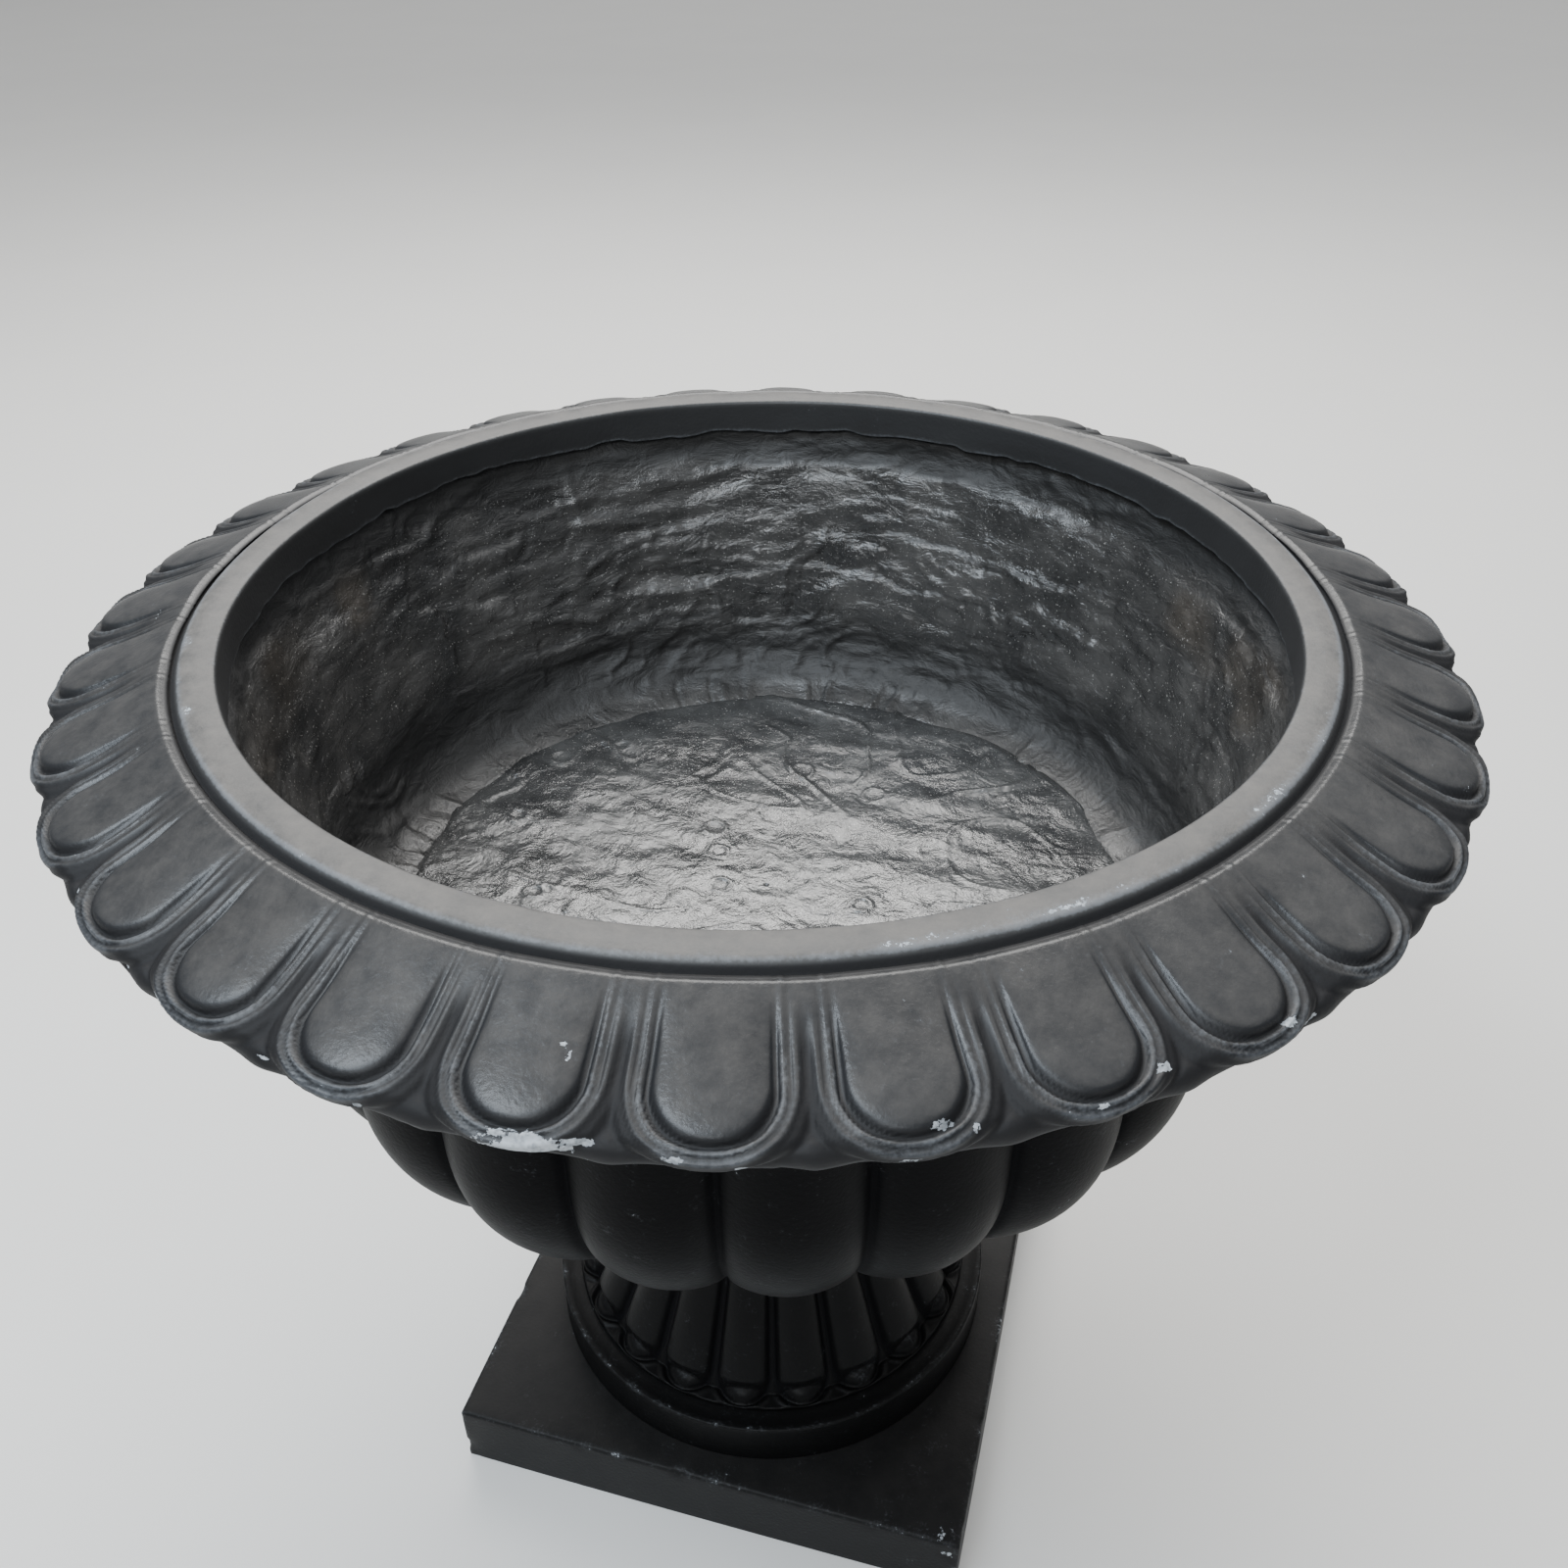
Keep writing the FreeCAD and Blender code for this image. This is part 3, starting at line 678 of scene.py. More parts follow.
def strip_ends(angle, rise):
    """Ragged upright ends of strips, a short ridge each."""
    total = np.zeros(angle.shape)
    ends = np.random.default_rng(33)
    for _ in range(STRIP_ENDS):
        middle = ends.uniform(0.0, TURN)
        low = ends.uniform(20.0, 90.0)
        tall = ends.uniform(18.0, 50.0)
        lean = ends.uniform(-0.25, 0.25)
        off = (np.mod(angle - middle + math.pi, TURN) - math.pi) * 250.0
        off = off + lean * (rise - low) + 1.8 * np.sin(rise * 0.31 + middle) + 0.9 * np.sin(rise * 0.9)
        inside = smooth(low - 4.0, low + 4.0, rise) * smooth(low + tall + 4.0, low + tall - 4.0, rise)
        behind = smooth(0.0, 2.0, off) * np.exp(-np.maximum(off, 0.0) / 9.0)
        total += inside * (1.3 * hump(off, 1.3) + 0.9 * behind)
    return total


def mat_weave(angle, rise):
    """Patches where the chopped mat's coarse open weave shows as little square ripples."""
    patch = noise(np.stack([np.cos(angle) * 250.0, np.sin(angle) * 250.0, rise * 2.0], axis=-1), 90.0, 47)
    ripple = np.sin(angle * 250.0 / 0.95) * 0.5 + np.sin(rise / 1.1) * 0.35
    return smooth(0.25, 0.6, patch) * ripple * 0.22


def lining_points():
    """Inner face from the lip down to the floor, then a plain back.

    The relief stands off the face, square to it, towards the planting space."""
    rows = np.linspace(1.0, 0.0, LINING_ROWS)
    height = floor_level + (lining_top - floor_level) * rows**1.1
    radius = wall_radius(height)
    slant = np.minimum(np.gradient(radius, height), 12.0)
    inward = -1.0 / np.hypot(1.0, slant)
    up = slant / np.hypot(1.0, slant)
    angle = (np.arange(LINING_COLUMNS) * TURN / LINING_COLUMNS)[:, None] * np.ones(len(rows))
    rise = (height - floor_level) * np.ones((LINING_COLUMNS, 1))
    laps, dark = lap_edges(angle, rise)
    relief = 1.35 * drag_marks(angle, rise, 60) + 1.3 * laps
    relief = relief + strip_ends(angle, rise) + mat_weave(angle, rise)
    relief = np.clip(relief, -RELIEF_SUNK, RELIEF_PROUD) * smooth(0.0, 6.0, lining_top - height)
    face = turned(radius + relief * inward, height + relief * up, LINING_COLUMNS)
    back_height = np.append([lining_bottom], np.linspace(lining_bottom, lining_top, 9))
    back_height[1] = lining_bottom
    back_radius = np.minimum(wall_radius(np.maximum(back_height, floor_level + 6.0)) + 7.0, lining_mouth)
    back_radius[:2] = [SHELF_RADIUS, back_radius[2] - 4.0]
    back = turned(back_radius, back_height, LINING_COLUMNS)
    points = np.concatenate([back, face], axis=1)
    sides = smooth(0.72, 0.97, np.abs(np.cos(angle - math.radians(15.0)))) * smooth(85.0, 130.0, rise)
    dust = sides * (0.65 + 0.45 * noise(face, 30.0, 70))
    # Painted shade: a shadow band under the lip, a dark band low on the wall above the floor, and dark lines
    # along the lap steps.
    ragged = 3.5 * noise(face, 40.0, 71)
    under_lip = smooth(-36.0, -22.0, height - lining_top + ragged)
    low_down = smooth(-4.0, 8.0, rise) * smooth(66.0, 28.0, rise + 2.0 * ragged)
    shade = np.clip(0.8 * dark + 0.97 * under_lip + 0.93 * low_down, 0.0, 1.0)
    plain = np.zeros(back.shape[:2])
    return points, np.hstack([plain, dust]), np.hstack([plain, shade])


def mat_fibres():
    """Glass mat under resin: leathery wrinkles and short crossing fibres as heights, specks and clouds."""
    settings = {"Scale": 180.0, "Wrinkle": 20.0}
    tree, put, out = group("mat_fibres", settings, ["Wrinkles", "Fibres", "Specks", "Cloud"])
    creases = grain(tree, put["Wrinkle"], 6.0, 0.6, (1.0, 1.0, 2.6), 0.9, "RIDGED_MULTIFRACTAL")
    lumps = grain(tree, times(tree, put["Wrinkle"], 2.6), 5.0, 0.6, (1.0, 1.0, 2.0), 0.5)
    tree.links.new(plus(tree, times(tree, creases, 0.5), lumps), out["Wrinkles"])
    along = grain(tree, put["Scale"], 5.0, 0.7, (1.0, 1.0, 5.0), 0.6)
    over = grain(tree, put["Scale"], 5.0, 0.7, (4.0, 4.0, 1.0), 0.6)
    glints = grain(tree, 900.0, 2.0, 0.6)
    tree.links.new(plus(tree, plus(tree, along, over), glints), out["Fibres"])
    tree.links.new(band(tree, grain(tree, 700.0, 2.0, 0.5), 0.66, 0.72), out["Specks"])
    tree.links.new(grain(tree, 22.0, 6.0, 0.65), out["Cloud"])
    return tree


FIBRES = mat_fibres()


def laid_resin(name, resin, worn, gloss, wrinkle, deep, shine):
    """Dark resin over glass mat: glossy, mottled, with pale pinholes, brown dust caught in the hollows, and
    painted shade from a mask.
    """
    material, tree, shader = new_material(name)
    mat = placed(tree, FIBRES, Scale=180.0, Wrinkle=wrinkle)
    colour = tint(tree, band(tree, mat["Cloud"], 0.3, 0.7), (*resin, 1), (*worn, 1))
    brown = times(tree, band(tree, attribute(tree, "dirt"), 0.45, 1.0), 0.4)
    colour = tint(tree, brown, colour, (0.095, 0.076, 0.056, 1))
    colour = tint(tree, times(tree, mat["Specks"], 0.7), colour, (0.42, 0.41, 0.39, 1))
    # Painted shade: near black where the shade mask is high.
    colour = tint(tree, attribute(tree, "crease"), colour, (0.006, 0.006, 0.006, 1))
    tree.links.new(colour, shader.inputs["Base Color"])
    rough = plus(tree, times(tree, mat["Cloud"], 0.3), gloss - 0.15)
    rough = plus(tree, rough, times(tree, brown, 0.3))
    rough = plus(tree, rough, times(tree, attribute(tree, "crease"), 0.5), clamp=True)
    tree.links.new(rough, shader.inputs["Roughness"])
    shader.inputs["IOR"].default_value = 1.6
    shader.inputs["Specular IOR Level"].default_value = shine
    fibres = times(tree, mat["Fibres"], 0.35)
    height = plus(tree, times(tree, mat["Wrinkles"], deep), fibres)
    bumped(tree, shader, height, 0.0006, 0.8)
    return material


points, dirt, crease = lining_points()
lining = closed_grid("laid_lining", points, dirt=dirt, crease=crease)
stand(lining, "bare_laminate", "bowl_lining")
lining.data.materials.append(
    laid_resin("lining_resin", (0.024, 0.024, 0.024), (0.075, 0.073, 0.070), 0.17, 18.0, 5.5, 0.70))


# ----------------------------------------
# Floor. The last sheet of mat, laid flat across the bottom of the bowl and
# flooded with resin, which has set in lumps, wandering ridges and drip rings.
# ----------------------------------------

FLOOR_COLUMNS = 720
FLOOR_RINGS = 134
FLOOR_PIN = 0.004
FLOOR_SET = 1.2
FLOOR_LAP = 1.6
DRIPS = 16


def floor_points():
    """A disc of rings. Its top carries soft lumps, ridges along chosen levels of a noise, and round drips."""
    reach = np.linspace(FLOOR_PIN, 1.0, FLOOR_RINGS)
    angle = (np.arange(FLOOR_COLUMNS) * TURN / FLOOR_COLUMNS)[:, None]
    radius = floor_edge * reach[None, :] * np.ones((FLOOR_COLUMNS, 1))
    x = radius * np.cos(angle)
    y = radius * np.sin(angle)
    flat = np.stack([x, y, np.zeros_like(x)], axis=-1)
    drawn = np.stack([x * 0.45 + y * 0.15, y, x * 0.0 + 7.0], axis=-1)
    lumps = 1.9 * noise(drawn, 26.0, 80) + 1.0 * noise(drawn, 12.0, 81) + 0.3 * noise(flat, 6.0, 82)
    wander = noise(flat, 70.0, 83) * 0.8 + noise(drawn, 30.0, 84) * 0.5
    ridges = 1.5 * hump(wander, 0.035) + 1.1 * hump(wander - 0.45, 0.03) + 0.9 * hump(wander + 0.5, 0.03)
    ridges = ridges * smooth(-0.3, 0.3, noise(flat, 50.0, 85))
    rings = np.zeros_like(x)
    drips = np.random.default_rng(91)
    for _ in range(DRIPS):
        away = drips.uniform(10.0, 0.9 * floor_edge)
        where = drips.uniform(0.0, TURN)
        size = drips.uniform(3.5, 8.0)
        from_centre = np.hypot(x - away * math.cos(where), y - away * math.sin(where))
        rings += hump(from_centre - size, 1.3) - 0.5 * hump(from_centre, size * 0.6)
    relief = np.clip((lumps + ridges + rings) * smooth(0.0, 3.0, radius), -2.5, 3.0)
    lap = FLOOR_LAP * smooth(floor_edge - 1.0, floor_edge - 6.0, radius)
    top = np.stack([x, y, floor_level - FLOOR_SET + relief + lap], axis=-1)
    under = turned(floor_edge * np.array([FLOOR_PIN, 1.0]), floor_bottom, FLOOR_COLUMNS)
    points = np.concatenate([top[:, ::-1], under], axis=1)
    dirt = 0.2 + 0.3 * noise(points, 55.0, 86)
    # Painted shade in a broken ring where the floor meets the wall.
    gap_shade = 0.25 * hump(radius - floor_edge, 1.6) * smooth(-0.2, 0.5, noise(flat, 60.0, 87))
    return points, dirt, np.hstack([gap_shade[:, ::-1], np.zeros((FLOOR_COLUMNS, 2))])


points, dirt, crease = floor_points()
floor_sheet = closed_grid("laid_floor", points, dirt=dirt, crease=crease)
stand(floor_sheet, "laid_floor", "floor_panel")
floor_sheet.data.materials.append(
    laid_resin("floor_resin", (0.022, 0.0225, 0.023), (0.075, 0.0755, 0.074), 0.17, 20.0, 6.5, 1.0))


# ----------------------------------------
# Rim, inner half. A broad rolled bead with a lip returned down inside the bowl.
# It is one moulding with the petals; its crown has rubbed pale where hands rest.
# ----------------------------------------

_, rim_bottom, rim_top = size_mm("rim_moulding")
GROOVE_RADIUS = 290.0
GROOVE_WIDTH = 4.2
GROOVE_DEPTH = 4.2
BEAD_HEIGHT = 1.8
BEAD_COLUMNS = 840
BEAD_CROWN_RADIUS = 277.0
LIP_RADIUS = 266.0
LIP_BACK_RADIUS = 272.0
LIP_BOTTOM = 582.2
petal_start_height = rim_top - BEAD_HEIGHT


def bead_points():
    """Turned outline of the bead and lip, with hand-trimmed waves along the lip's lower edge."""
    side = GROOVE_RADIUS - GROOVE_WIDTH
    radius, height = outline(
        [(GROOVE_RADIUS + 3.5, rim_bottom + 34.0), (GROOVE_RADIUS + 1.8, petal_start_height - 3.5),
         (side + 2.6, petal_start_height - GROOVE_DEPTH), (side + 0.8, petal_start_height - 1.2),
         (side - 2.0, rim_top - 0.4), (BEAD_CROWN_RADIUS, rim_top + 0.2), (LIP_RADIUS + 1.4, rim_top - 0.9),
         (LIP_RADIUS, LIP_BOTTOM), (LIP_BACK_RADIUS, LIP_BOTTOM - 0.5),
         (LIP_BACK_RADIUS + 1.0, LIP_BOTTOM + 7.3)],
        [1.0, 1.0, 1.5, 2.5, 5.0, 8.0, 2.2, 1.2, 1.2, 2.0], 1.5)
    points = turned(radius, height, BEAD_COLUMNS)
    low = smooth(594.0, 582.0, points[..., 2]) * smooth(280.0, 274.0, radius)
    trim = 1.9 * noise(points * [1, 1, 0], 24.0, 101) + 1.0 * noise(points * [1, 1, 0], 9.0, 102)
    points[..., 2] -= low * (0.4 + trim)
    swell = 0.6 * noise(points, 48.0, 103) + 0.2 * noise(points, 13.0, 104)
    points = points + points * [1, 1, 0] * (swell * low / 280.0)[..., None]
    waver = 0.45 * noise(points, 90.0, 105) + 0.12 * noise(points, 22.0, 109)
    points[..., 2] += waver * (1.0 - low) - 0.3
    on_top = smooth(rim_top - 2.6, rim_top - 1.0, height)
    shoulder = hump(radius - side + 1.6, 1.7) * on_top
    inner = hump(radius - LIP_RADIUS - 2.2, 1.6) * on_top
    lower_edge = hump(radius - LIP_RADIUS - 0.4, 1.5) * hump(height - LIP_BOTTOM - 0.4, 1.3)
    rest = noise(points * [1, 1, 0], 120.0, 106)
    edge = shoulder * (0.75 + 0.5 * smooth(-0.2, 0.5, rest)) + 0.35 * inner + 0.8 * lower_edge
    # Painted shade through the recess mask: the bead's side down into the groove, the lip's inner wall and
    # the hollow behind the lip.
    sides = smooth(side - 1.0, side + 0.8, radius) * smooth(rim_top - 0.9, rim_top - 2.2, height)
    inner_wall = 0.62 * smooth(rim_top - 1.6, rim_top - 5.0, height) * smooth(271.0, 268.5, radius)
    behind = 0.8 * smooth(270.0, 273.0, radius) * smooth(592.0, 588.0, height)
    recess = np.clip(sides + inner_wall * (1.0 - lower_edge) + behind, 0.0, 1.0)
    angle = np.degrees(np.arctan2(points[..., 1], points[..., 0]))
    worn = np.zeros(edge.shape)
    streaks = ((-63.0, 4.5, 0.55), (-55.0, 6.0, 0.95), (-47.0, 4.0, 0.75), (-24.0, 7.0, 0.80),
               (-14.0, 4.0, 0.6), (-153.0, 1.6, 1.0), (-139.0, 1.2, 0.8), (-169.0, 7.0, 0.55),
               (172.0, 8.0, 0.6), (38.0, 6.0, 0.5))
    for middle, reach, strong in streaks:
        off = (angle - middle + 180.0) % 360.0 - 180.0
        worn += strong * hump(off, reach) * hump(radius - side + 4.2, 3.0) * on_top
    worn = worn * (0.5 + 0.5 * noise(points, 16.0, 107))
    edge = np.clip(edge + 1.3 * worn, 0.0, 2.0)
    return points, edge, np.clip(0.85 * worn, 0.0, 0.75), np.broadcast_to(recess, edge.shape)


points, edge, chip, recess = bead_points()
bead = closed_grid("rim_bead", points, edge=edge, chip=chip, recess=recess)
stand(bead, "black_paint")
bead.data.materials.append(
    black_paint("bead_paint", (0.034, 0.0345, 0.035), 0.95, 0.34, 0.0, 0.44, 0.5))


# ----------------------------------------
# Rim, outer half. Thirty-two petals droop from the bead's groove. Each has a
# crowned field, a fine raised line and a rolled border, with a dart between.
# ----------------------------------------

PETALS = 32
PETAL_GAP_ANGLE = 7.85
PETAL_COLUMNS = 46
PETAL_REACH = 67.0
PETAL_SLOPE = math.radians(17.5)
PETAL_NOSE_RADIUS = 13.0
PETAL_LENGTH = 86.0
PETAL_THICKNESS = 8.0
PETAL_CROWN = 3.0
PETAL_DROP = 4.6
# Round-ended outlines: share of half the pitch, then where the round end starts and how long it is
PETAL_FIELD = (0.655, 42.5, 21.8)
PETAL_BORDER = (0.965, 36.5, 39.5)
FIELD_HALF = 21.0
BIG_CHIP_ANGLE = -86.5


def petal_course(length):
    """Radius, height and lean of the fields' crest at a length from the groove: a cone, then a nose."""
    sine, cosine = math.sin(PETAL_SLOPE), math.cos(PETAL_SLOPE)
    cone = (PETAL_REACH - PETAL_NOSE_RADIUS * (1.0 - sine)) / cosine
    on_cone = np.minimum(length, cone)
    lean = PETAL_SLOPE + (length - on_cone) / PETAL_NOSE_RADIUS
    radius = GROOVE_RADIUS + on_cone * cosine + PETAL_NOSE_RADIUS * (np.sin(lean) - sine)
    height = petal_start_height - on_cone * sine - PETAL_NOSE_RADIUS * (cosine - np.cos(lean))
    return radius, height, lean


def round_ended(sideways, length, half, shape):
    """1 on a round-ended outline and less inside it: straight sides, then half an ellipse."""
    share, start, end = shape
    return np.hypot(sideways / (share * half), np.maximum(length - start, 0.0) / end)


def petal_relief(across, length, half):
    """Height of one petal against the crest's course, from two round-ended outlines.

    The field is a low pillow inside the first; a recess, a raised line and a fine groove follow its edge.
    The border swells between the two outlines, and outside the second the surface drops to the dart."""
    field = round_ended(across * half, length, half, PETAL_FIELD)
    outside_field = (field - 1.0) * FIELD_HALF
    inside_border = (1.0 - round_ended(across * half, length, half, PETAL_BORDER)) * half
    rise = smooth(4.0, 38.0, length)
    soft = 0.35 + 0.65 * rise
    tip = smooth(34.0, 58.0, length)
    fall = smooth(14.0, 46.0, length)
    level = PETAL_CROWN * (0.15 + 0.85 * rise)
    pillow = level * np.sqrt(np.clip(1.0 - field**2.5, 0.0, 1.0))
    recess = (1.5 + 0.7 * tip) * hump(outside_field - 0.5, 1.2 + 0.5 * tip) * rise
    line = 0.95 * hump(outside_field - 3.0, 1.15) * soft
    fine = 0.55 * hump(outside_field - 5.3, 0.9) * soft
    swell = 1.5 * smooth(5.0, 8.0, outside_field) * smooth(-0.5, 4.5, inside_border) * rise
    drop = PETAL_DROP * smooth(0.0, 5.5, -inside_border) * fall
    seam = 1.1 * hump(inside_border + 0.3, 1.3) * smooth(14.0, 34.0, length)
    dart = 1.4 * hump(1.0 - np.abs(across), 0.24) * smooth(-1.0, -8.0, inside_border) * fall
    gutter = 2.6 * smooth(4.5, 0.0, length)
    relief = pillow - level - recess + line - fine + swell - drop - seam + dart - gutter
    edge = hump(outside_field - 3.0, 1.1) * (0.25 + 0.6 * smooth(10.0, 50.0, length))
    edge += 0.5 * hump(inside_border - 2.6, 2.2) * smooth(24.0, 56.0, length)
    edge += 0.6 * smooth(62.0, 73.0, length) * smooth(-2.0, 3.0, inside_border)
    edge += 0.1 * hump(length - 3.4, 1.5)
    # Painted shade, returned as dark: round the field and its tip, in the fine groove, along the dart,
    # outside the border, in the web, in the gutter by the groove and low on the nose.
    dark = (0.40 + 0.60 * tip) * hump(outside_field - 0.2 + 0.5 * tip, 1.5 + 1.3 * tip) * rise
    dark += 0.45 * hump(outside_field - 5.4, 0.9) * soft
    dark += 0.35 * hump(1.0 - np.abs(across), 0.10) * smooth(6.0, 16.0, length)
    dark += 0.95 * hump(inside_border + 1.0, 1.9) * smooth(14.0, 34.0, length)
    dark += 0.95 * smooth(1.0, -4.0, inside_border) * smooth(34.0, 58.0, length)
    dark += 0.55 * hump(inside_border - 0.5, 3.5) * smooth(30.0, 60.0, length)
    dark += smooth(2.4, 0.6, length) + 0.95 * smooth(71.0, 78.0, length)
    return relief, np.clip(edge, 0.0, 1.0), np.clip(dark, 0.0, 1.0)


def petal_knocks(angle, course_radius, length, where):
    """0 to 1 inside ragged ovals: one big broken edge left of the middle, and small knocks round the tips.

    Each oval has a heading in degrees, a length from the groove, and half its width and half its length."""
    knocks = (
        (-86.1, 71.0, 19.0, 7.5), (-87.2, 77.0, 13.0, 7.0), (-83.6, 67.0, 7.0, 3.8), (-104.1, 70.0, 4.0, 2.2),
        (-96.8, 73.0, 4.5, 2.0), (-78.3, 70.5, 5.0, 2.5), (-74.6, 76.0, 6.0, 2.2), (-65.8, 76.0, 6.0, 2.2),
        (-63.8, 61.0, 7.0, 2.2), (-61.9, 65.0, 2.2, 3.6), (-85.8, 33.0, 2.4, 1.6), (-85.2, 36.0, 1.6, 2.4),
        (-64.3, 14.5, 2.2, 1.7), (-54.5, 68.0, 4.0, 2.0), (-50.0, 60.0, 5.0, 2.6), (-51.5, 70.0, 3.0, 2.0),
        (-41.0, 66.0, 4.5, 2.6), (-39.0, 72.0, 8.0, 3.0), (-28.0, 73.0, 5.0, 2.2), (-16.0, 71.0, 5.5, 2.4),
        (-5.0, 73.0, 6.0, 2.0), (-113.0, 71.0, 7.0, 3.0), (-118.0, 73.0, 4.0, 2.0), (-126.0, 62.0, 4.0, 1.8),
        (-133.0, 73.0, 5.0, 1.8), (-151.0, 34.0, 1.8, 1.5), (-162.0, 20.0, 7.0, 1.2),
        (-170.0, 56.0, 1.8, 1.6), (24.0, 71.0, 9.0, 2.2), (75.0, 73.0, 10.0, 2.6), (131.0, 71.0, 9.0, 2.2),
        (171.0, 72.0, 7.0, 1.8))
    ragged = noise(where, 6.0, 123) + 0.6 * noise(where, 2.6, 124)
    broken = np.zeros(ragged.shape)
    for heading, along, half_width, half_length in knocks:
        off = (np.degrees(angle) - heading + 180.0) % 360.0 - 180.0
        sideways = np.radians(off)[:, None] * course_radius
        away = np.hypot(sideways / half_width, (length - along) / half_length)
        strong = min(1.05, 0.55 + 0.1 * half_length)
        broken = np.maximum(broken, strong * smooth(1.3, 0.3, away + 0.3 * ragged))
    return broken


def petal_points():
    """Thirty-two copies of the relief round the course, each a little different, over a plain underside."""
    share = np.linspace(-1.0, 1.0, PETAL_COLUMNS, endpoint=False) + 1.0 / PETAL_COLUMNS
    across = np.tile(np.sign(share) * np.abs(share) ** 0.78, PETALS)
    number = np.repeat(np.arange(PETALS), PETAL_COLUMNS)
    angle = math.radians(PETAL_GAP_ANGLE) + (number + 0.5 + across / 2.0) * TURN / PETALS
    length = np.concatenate([
        np.linspace(0.0, 6.0, 7), np.linspace(8.0, 42.0, 15), np.linspace(43.6, PETAL_LENGTH, 32)])
    course_radius, course_height, lean = petal_course(length)
    half = course_radius * math.pi / PETALS
    relief, edge, dark = petal_relief(across[:, None], length, half)
    where = turned_at(angle, course_radius, course_height)
    waver = 0.4 * noise(where, 55.0, 120) + 0.12 * noise(where, 14.0, 121)
    relief = relief + waver * smooth(0.0, 8.0, length)
    relief = relief - 0.5 * smooth(66.0, 74.0, length) * smooth(0.3, 0.8, noise(where, 12.0, 122))
    broken = petal_knocks(angle, course_radius, length, where)
    big = smooth(8.0, 4.0, np.abs(np.degrees(angle) - BIG_CHIP_ANGLE))[:, None] * smooth(64.0, 70.0, length)
    relief = relief - broken * (0.45 + 2.2 * big)
    under_length = np.array([PETAL_LENGTH - 1.0, 80.0, 72.0, 62.0, 46.0, 30.0, 14.0, 4.0])
    nearest = np.abs(length - under_length[:, None]).argmin(axis=1)
    thick = PETAL_THICKNESS * np.array([0.35, 0.8, 1.0, 1.0, 1.0, 1.0, 1.0, 0.9])
    sunk = np.minimum(relief[:, nearest], 0.0) - thick
    rows = np.append(nearest, np.arange(len(length))[::-1])
    relief = np.hstack([sunk, relief[:, ::-1]])
    radius = course_radius[rows] + relief * np.sin(lean[rows])
    height = course_height[rows] + relief * np.cos(lean[rows])
    plain = np.zeros(sunk.shape)
    edge = np.hstack([plain, edge[:, ::-1]])
    chip = np.hstack([plain, broken[:, ::-1]])
    # The underside gets painted shade too.
    dark = np.hstack([plain + 0.85, dark[:, ::-1]])
    return turned_at(angle, radius, height), edge, chip, dark


points, edge, chip, recess = petal_points()
petals = closed_grid("petal_rim", points, edge=edge, chip=chip, recess=recess)
stand(petals, "black_paint", "rim_moulding")
petals.data.materials.append(
    black_paint("petal_paint", (0.0135, 0.0148, 0.0170), 0.34, 0.30, -0.1, 0.27, 0.38))


# ----------------------------------------
# Tie rod, plates, washers and nuts. Zinc-plated steel that clamps the bowl,
# foot and plinth together, buried below the laid floor and under the plinth.
# ----------------------------------------

def zinc_plate():
    """Dull zinc: faint spangle in the colour, rougher where it has bloomed."""
    material, tree, shader = new_material("zinc_plate")
    spangle = grain(tree, 160.0, 2.0, 0.4, distortion=1.5)
    bloom = band(tree, grain(tree, 45.0, 5.0, 0.6), 0.45, 0.7)
    colour = tint(tree, spangle, (0.42, 0.43, 0.44, 1), (0.60, 0.61, 0.62, 1))
    tree.links.new(tint(tree, bloom, colour, (0.70, 0.70, 0.68, 1)), shader.inputs["Base Color"])
    tree.links.new(plus(tree, times(tree, bloom, 0.3), 0.32), shader.inputs["Roughness"])
    shader.inputs["Metallic"].default_value = 1.0
    bumped(tree, shader, spangle, 0.0001, 0.5)
    return material


ZINC = zinc_plate()
for name in ("tie_rod", "top_plate", "bottom_plate", "tie_washers", "tie_nuts"):
    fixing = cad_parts[name]
    fixing.data.materials.clear()
    fixing.data.materials.append(ZINC)


# ----------------------------------------
# Studio: a pale floor under a broad sky light, a soft light behind that skims the
# upward faces, and two cooler ones in front. The camera looks down over the rim.
# ----------------------------------------

CAMERA_PLACE = (0.1935, -0.6396, 0.9463)
CAMERA_PITCH = 35.0
CAMERA_HEADING = 15.9
CAMERA_ROLL = -0.39
CAMERA_LENS = 33.29
FLOOR_REACH = 14.0


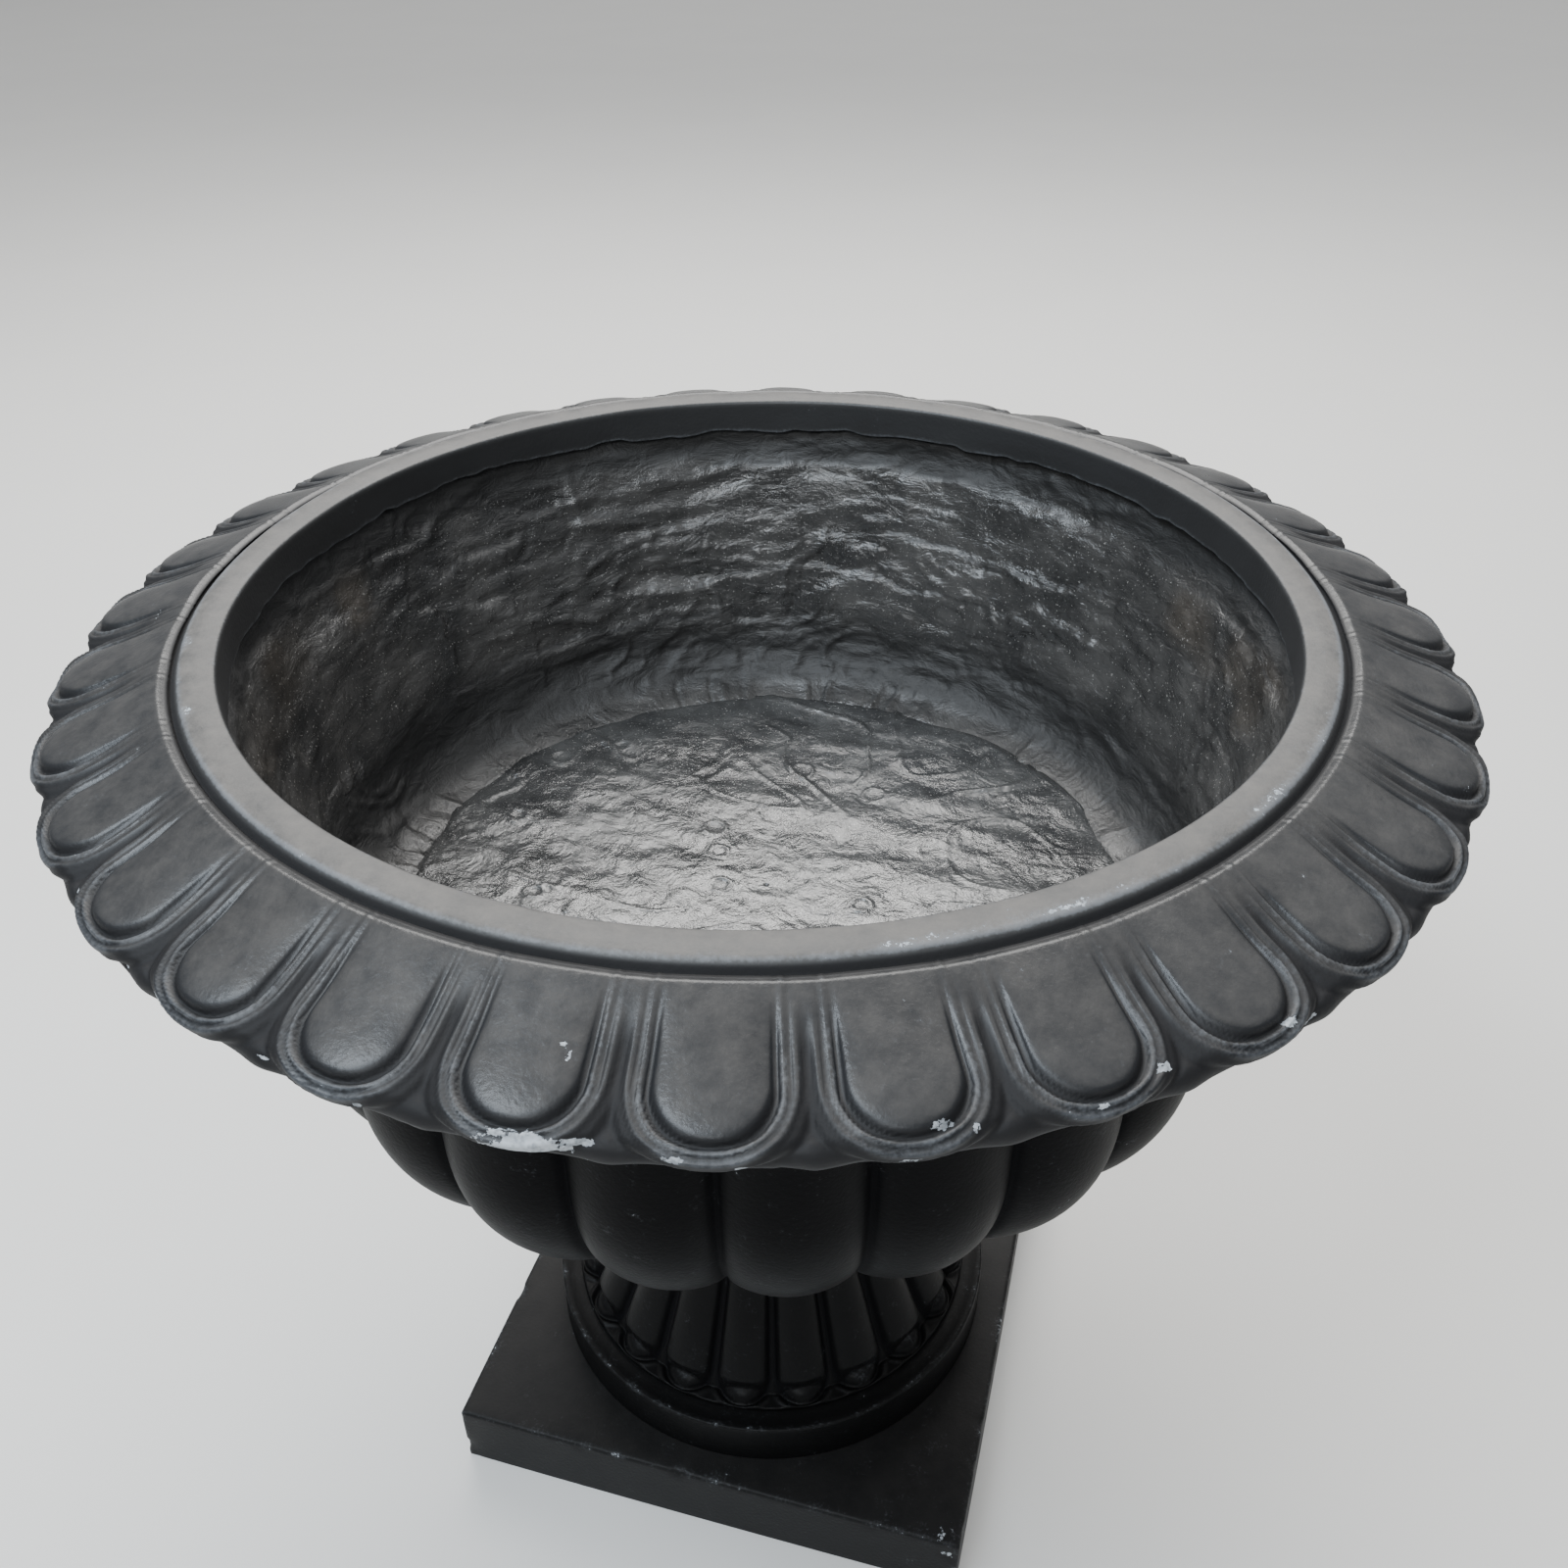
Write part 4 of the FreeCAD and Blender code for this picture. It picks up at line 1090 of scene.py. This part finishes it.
def studio_floor():
    """A flat square of pale painted boarding, faintly mottled."""
    corner = np.array([[-1, -1, 0], [1, -1, 0], [1, 1, 0], [-1, 1, 0]], float) * FLOOR_REACH
    mesh = bpy.data.meshes.new("studio_floor")
    mesh.from_pydata(corner, [], [(0, 1, 2, 3)])
    ground = bpy.data.objects.new("studio_floor", mesh)
    bpy.context.scene.collection.objects.link(ground)
    material, tree, shader = new_material("studio_floor")
    pale = tint(tree, grain(tree, 3.0, 4.0, 0.5), (0.76, 0.755, 0.735, 1), (0.80, 0.795, 0.775, 1))
    tree.links.new(pale, shader.inputs["Base Color"])
    shader.inputs["Roughness"].default_value = 0.8
    mesh.materials.append(material)


def soft_light(name, place, target, size, power, colour):
    """A soft rectangular light at a place, facing a target."""
    light = bpy.data.lights.new(name, "AREA")
    light.shape = "RECTANGLE"
    light.size, light.size_y = size
    light.energy = power
    light.color = colour
    lamp = bpy.data.objects.new(name, light)
    bpy.context.scene.collection.objects.link(lamp)
    away = np.array(place, float) - np.array(target, float)
    flat = math.hypot(away[0], away[1])
    lamp.location = place
    lamp.rotation_euler = (math.atan2(flat, away[2]), 0.0, math.atan2(away[0], -away[1]))


studio_floor()
URN_MIDDLE = (0.0, 0.0, 0.5)
soft_light("sky_light", (0.0, 5.0, 6.0), (0.0, 5.0, 0.0), (14.0, 14.0), 470.0, (1.0, 0.99, 0.975))
soft_light("back_light", (-0.6, 1.95, 2.9), URN_MIDDLE, (2.6, 1.7), 125.0, (1.0, 0.985, 0.96))
soft_light("front_light", (-0.80, -1.05, 2.5), URN_MIDDLE, (1.3, 0.8), 52.0, (0.80, 0.90, 1.0))
soft_light("wall_light", (0.20, -2.1, 2.05), URN_MIDDLE, (1.3, 0.5), 26.0, (0.95, 0.98, 1.0))

world = bpy.data.worlds.new("studio")
world.use_nodes = True
world.node_tree.nodes["Background"].inputs["Color"].default_value = (0.93, 0.96, 1.0, 1)
world.node_tree.nodes["Background"].inputs["Strength"].default_value = 0.32
bpy.context.scene.world = world

camera_data = bpy.data.cameras.new("camera")
camera_data.lens = CAMERA_LENS
camera_data.sensor_width = 36.0
camera_data.clip_start = 0.01
camera = bpy.data.objects.new("camera", camera_data)
bpy.context.scene.collection.objects.link(camera)
camera.rotation_mode = "XYZ"
camera.location = CAMERA_PLACE
camera.rotation_euler = (math.radians(90.0 - CAMERA_PITCH), 0.0, math.radians(CAMERA_HEADING))
camera.rotation_euler.rotate_axis("Z", math.radians(CAMERA_ROLL))
bpy.context.scene.camera = camera
